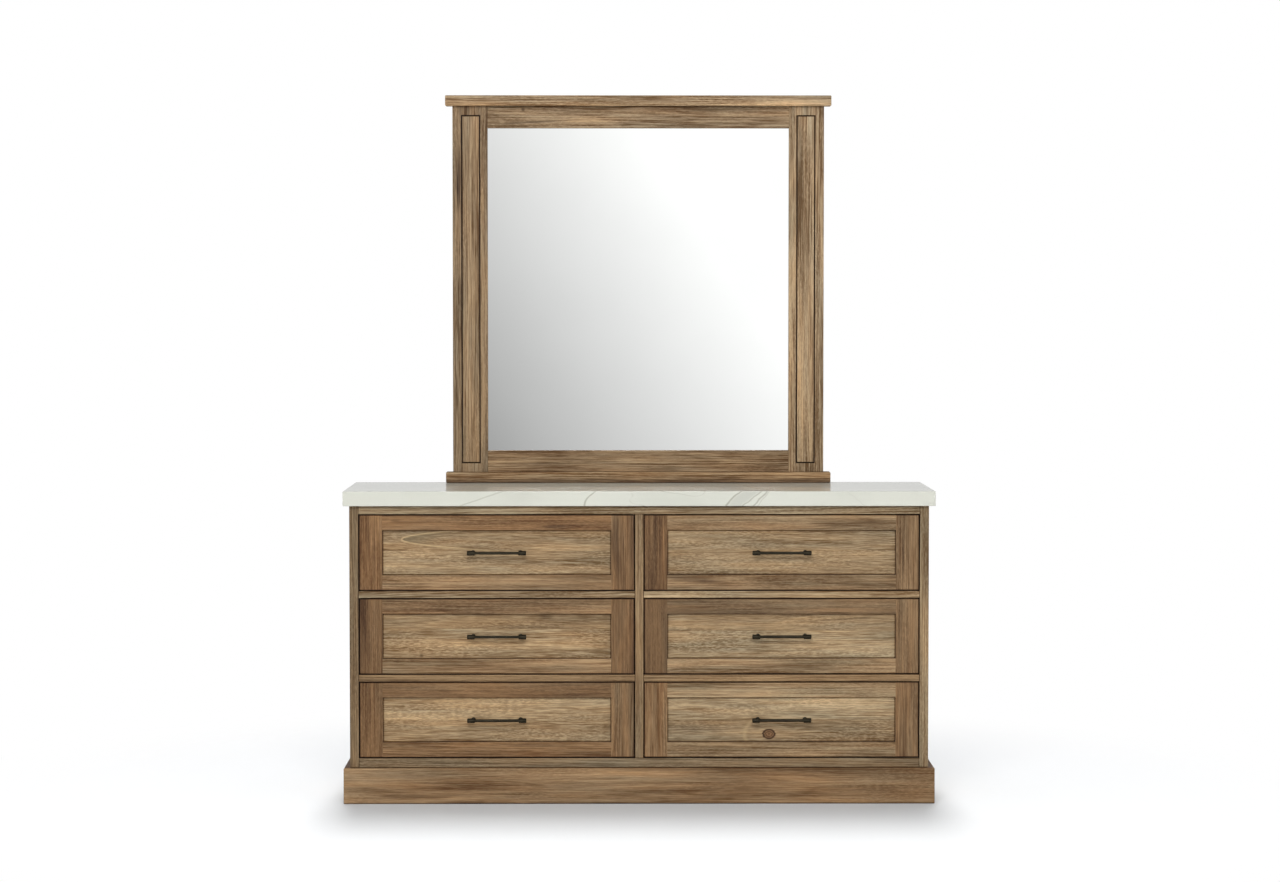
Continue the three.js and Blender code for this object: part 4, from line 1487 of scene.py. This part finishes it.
class DRESSER_OT_mirror_glass(Build, bpy.types.Operator):
    """Silvered glass, its paint, the backing board and the strips that hold it"""

    bl_idname = "dresser.mirror_glass"
    bl_label = "Mirror glass"

    def execute(self, context):
        mirror = settings("mirror")
        segments = settings("boards").round_segments
        low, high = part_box("mirror_glass")
        paint_face = high.y - mirror.paint_thickness
        pane = soften(solid_box(low, (high.x, paint_face, high.z)), mirror.edge_round, segments)
        make_piece("mirror_pane", pane, "mirror_glass", CARCASS, "mirror_glass")
        coat = solid_box((low.x, paint_face, low.z), high)
        soften(coat, mirror.paint_thickness * PAINT_ROUND_SHARE, segments)
        make_piece("mirror_paint", coat, "back_paint", CARCASS, "mirror_glass")
        back = soften(copy_of("mirror_backing"), mirror.edge_round, segments)
        make_piece("mirror_backing_sheet", back, "backing_board", CARCASS, "mirror_backing")
        self.add_strips()
        return {"FINISHED"}

    def add_strips(self):
        """Strips along the four edges of the backing board, with their screws."""
        mirror = settings("mirror")
        node = "mirror_backing"
        low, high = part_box(node)
        width = mirror.strip_width
        near, far = high.y, high.y + mirror.strip_thickness
        strips = {
            "top": (X, (low.x, near, high.z - width), (high.x, far, high.z)),
            "bottom": (X, (low.x, near, low.z), (high.x, far, low.z + width)),
            "left": (Z, (low.x, near, low.z + width), (low.x + width, far, high.z - width)),
            "right": (Z, (high.x - width, near, low.z + width), (high.x, far, high.z - width)),
        }
        for edge, (grain, least, most) in strips.items():
            name = f"{node}_strip_{edge}"
            add_board(name, solid_box(least, most), grain, "hidden_wood", CARCASS, node)
            for index, along in enumerate(STRIP_SCREW_SHARES):
                place = (Vector(least) + Vector(most)) / 2
                place[grain] = least[grain] + along * (most[grain] - least[grain])
                place.y = far
                add_screw(f"{name}_screw_{index + 1}", place, CARCASS, node)


class DRESSER_OT_supports(Build, bpy.types.Operator):
    """Uprights that hold the mirror to the body, with their screws"""

    bl_idname = "dresser.supports"
    bl_label = "Mirror supports"

    def execute(self, context):
        for side in SIDES:
            node = f"mirror_support_{side}"
            low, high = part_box(node)
            add_whole(node, Z)
            for index, up in enumerate(SUPPORT_SCREW_SHARES):
                place = ((low.x + high.x) / 2, high.y, low.z + up * (high.z - low.z))
                add_screw(f"{node}_screw_{index + 1}", place, CARCASS, node)
        return {"FINISHED"}


# Stage.

FLOOR_COLOUR = (0.40, 0.40, 0.40, 1.0)
FLOOR_SHOWN_COLOUR = (0.568, 0.577, 0.586, 1.0)
FLOOR_FADE = (0.9, 2.0)
FLOOR_LIGHT_SIZE = (7.0, 26.0)
FLOOR_LIGHT_AWAY = 40.0
FLOOR_LIGHT_LEAN = math.radians(24)
KEY_PLACE = (-0.4, -5.2, 3.5)
KEY_AIM = (0.0, 0.0, 0.75)
CARD_PLACE = (0.0, -9.6, 1.4)
CARD_HALF = 3.0
CARD_CORNER = (-0.81, 0.48)
CARD_SPAN = (1.75, 1.87)
CARD_LEAST = 0.36
CARD_MOST = 1.06


def add_sheet(name, half, matrix, material):
    """A flat square of the stage."""
    bm = bmesh.new()
    bmesh.ops.create_grid(bm, x_segments=1, y_segments=1, size=half, matrix=matrix)
    mesh = bpy.data.meshes.new(name)
    bm.to_mesh(mesh)
    bm.free()
    mesh.materials.append(material)
    sheet = bpy.data.objects.new(name, mesh)
    bpy.context.scene.collection.objects.link(sheet)
    return sheet


def add_lamp(name, shape, sizes, power):
    """A flat lamp of the stage."""
    data = bpy.data.lights.new(name, "AREA")
    data.shape = shape
    data.size, data.size_y = sizes
    data.energy = power
    lamp = bpy.data.objects.new(name, data)
    bpy.context.scene.collection.objects.link(lamp)
    return lamp


class DRESSER_OT_stage(Build, bpy.types.Operator):
    """White floor and surroundings, light, camera, and the card that the mirror sees"""

    bl_idname = "dresser.stage"
    bl_label = "Stage"

    def execute(self, context):
        stage = settings("stage")
        scene = context.scene
        scene.view_settings.view_transform = "Standard"
        self.add_camera(scene, stage)
        self.add_world(scene, stage)
        key = add_lamp("key", "RECTANGLE", (stage.key_size, stage.key_height), stage.key_power)
        key.location = KEY_PLACE
        beam = Vector(KEY_AIM) - Vector(KEY_PLACE)
        key.rotation_euler = beam.to_track_quat("-Z", "Y").to_euler()
        self.add_floor_light(scene, stage, self.add_floor(stage))
        self.add_card(stage)
        return {"FINISHED"}

    def add_camera(self, scene, stage):
        data = bpy.data.cameras.new("camera")
        data.lens = stage.lens
        data.sensor_width = stage.sensor
        camera = bpy.data.objects.new("camera", data)
        camera.location = stage.camera_place
        camera.rotation_euler = (math.pi / 2 - stage.camera_drop, 0, stage.camera_swing)
        scene.collection.objects.link(camera)
        scene.camera = camera

    def add_world(self, scene, stage):
        """White where it is seen, softer where it lights."""
        scene.world = bpy.data.worlds.new("studio")
        g = Graph(scene.world)
        path = g.add("ShaderNodeLightPath", {}).outputs
        shown = g.math("MAXIMUM", path["Is Camera Ray"], path["Is Transmission Ray"])
        height = g.split(g.add("ShaderNodeTexCoord", {}).outputs["Generated"])[2]
        strength = g.math("MAXIMUM", shown, g.band(height, 0.0, 1.0, stage.wall_level, stage.sky_level))
        background = g.add("ShaderNodeBackground", {"Color": WHITE, "Strength": strength})
        g.add("ShaderNodeOutputWorld", {"Surface": background.outputs[0]})

    def add_floor(self, stage):
        """A floor that shows the dresser's shade, and is plain white far from it."""
        g = Graph(bpy.data.materials.new("floor_white"))
        path = g.add("ShaderNodeLightPath", {}).outputs
        shown = g.math("MAXIMUM", path["Is Camera Ray"], path["Is Glossy Ray"])
        diffuse = g.add("ShaderNodeBsdfDiffuse", {"Color": g.mix(shown, FLOOR_COLOUR, FLOOR_SHOWN_COLOUR)})
        far = g.times(shown, g.band(g.norm(g.place()), *FLOOR_FADE))
        both = g.add("ShaderNodeMixShader", {0: far, 1: diffuse.outputs[0], 2: g.glow(stage.floor_glow)})
        g.add("ShaderNodeOutputMaterial", {"Surface": both.outputs[0]})
        level = Matrix.Translation((0, 0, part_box("plinth_front")[0].z))
        return add_sheet("floor", stage.floor_half, level, g.owner)

    def add_floor_light(self, scene, stage, floor):
        """A high light behind the dresser that reaches only the floor, where it casts the body's shade."""
        light = add_lamp("floor_light", "ELLIPSE", FLOOR_LIGHT_SIZE, stage.shade_power)
        lean = FLOOR_LIGHT_LEAN
        light.location = (0, FLOOR_LIGHT_AWAY * math.sin(lean), FLOOR_LIGHT_AWAY * math.cos(lean))
        light.rotation_euler = (-lean, 0, 0)
        lit = bpy.data.collections.new("floor_lit")
        lit.objects.link(floor)
        light.light_linking.receiver_collection = lit
        clear = bpy.data.collections.new("floor_clear")
        for piece in scene.objects:
            if piece.name.startswith("mirror"):
                clear.objects.link(piece)
        for member in clear.collection_objects:
            member.light_linking.link_state = "EXCLUDE"
        light.light_linking.blocker_collection = clear

    def add_card(self, stage):
        """A card behind the camera that shades from grey at the lower left to white."""
        g = Graph(bpy.data.materials.new("card_grey"))
        x, _, z = g.split(g.place())
        across = g.times(g.minus(x, CARD_CORNER[0]), stage.card_across / CARD_SPAN[0])
        up = g.times(g.minus(z, CARD_CORNER[1]), stage.card_up / CARD_SPAN[1])
        grey = g.held(g.plus(g.plus(across, up), stage.card_low), CARD_LEAST, CARD_MOST)
        g.add("ShaderNodeOutputMaterial", {"Surface": g.glow(grey)})
        upright = Matrix.Translation(CARD_PLACE) @ Matrix.Rotation(math.pi / 2, 4, "X")
        card = add_sheet("card", CARD_HALF, upright, g.owner)
        card.visible_camera = False
        card.visible_diffuse = False
        card.visible_shadow = False
        card.visible_transmission = False


# Registration.

OPERATORS = (
    DRESSER_OT_plinth,
    DRESSER_OT_body,
    DRESSER_OT_guides,
    DRESSER_OT_drawer_fronts,
    DRESSER_OT_drawer_boxes,
    DRESSER_OT_handles,
    DRESSER_OT_stone_top,
    DRESSER_OT_mirror_frame,
    DRESSER_OT_mirror_glass,
    DRESSER_OT_supports,
    DRESSER_OT_stage,
)


class DRESSER_PT_panel(bpy.types.Panel):
    """Settings of the dresser, and a button for each group of pieces"""

    bl_idname = "DRESSER_PT_panel"
    bl_label = "Dresser with mirror"
    bl_space_type = "VIEW_3D"
    bl_region_type = "UI"
    bl_category = "Dresser"

    def draw(self, context):
        for name, group in SETTINGS.items():
            box = self.layout.box()
            box.label(text=name.removeprefix("dresser_").capitalize())
            for key in group.__annotations__:
                box.prop(getattr(context.scene, name), key)
        for operator in OPERATORS:
            self.layout.operator(operator.bl_idname)


CLASSES = (*SETTINGS.values(), *OPERATORS, DRESSER_PT_panel)


def register():
    for cls in CLASSES:
        bpy.utils.register_class(cls)
    for name, group in SETTINGS.items():
        setattr(bpy.types.Scene, name, PointerProperty(type=group))


def unregister():
    for name in SETTINGS:
        delattr(bpy.types.Scene, name)
    for cls in reversed(CLASSES):
        bpy.utils.unregister_class(cls)


def main():
    register()
    bpy.ops.dresser.plinth()
    bpy.ops.dresser.body()
    bpy.ops.dresser.guides()
    bpy.ops.dresser.drawer_fronts()
    bpy.ops.dresser.drawer_boxes()
    bpy.ops.dresser.handles()
    bpy.ops.dresser.stone_top()
    bpy.ops.dresser.mirror_frame()
    bpy.ops.dresser.mirror_glass()
    bpy.ops.dresser.supports()
    bpy.ops.dresser.stage()


if __name__ == "__main__":
    main()
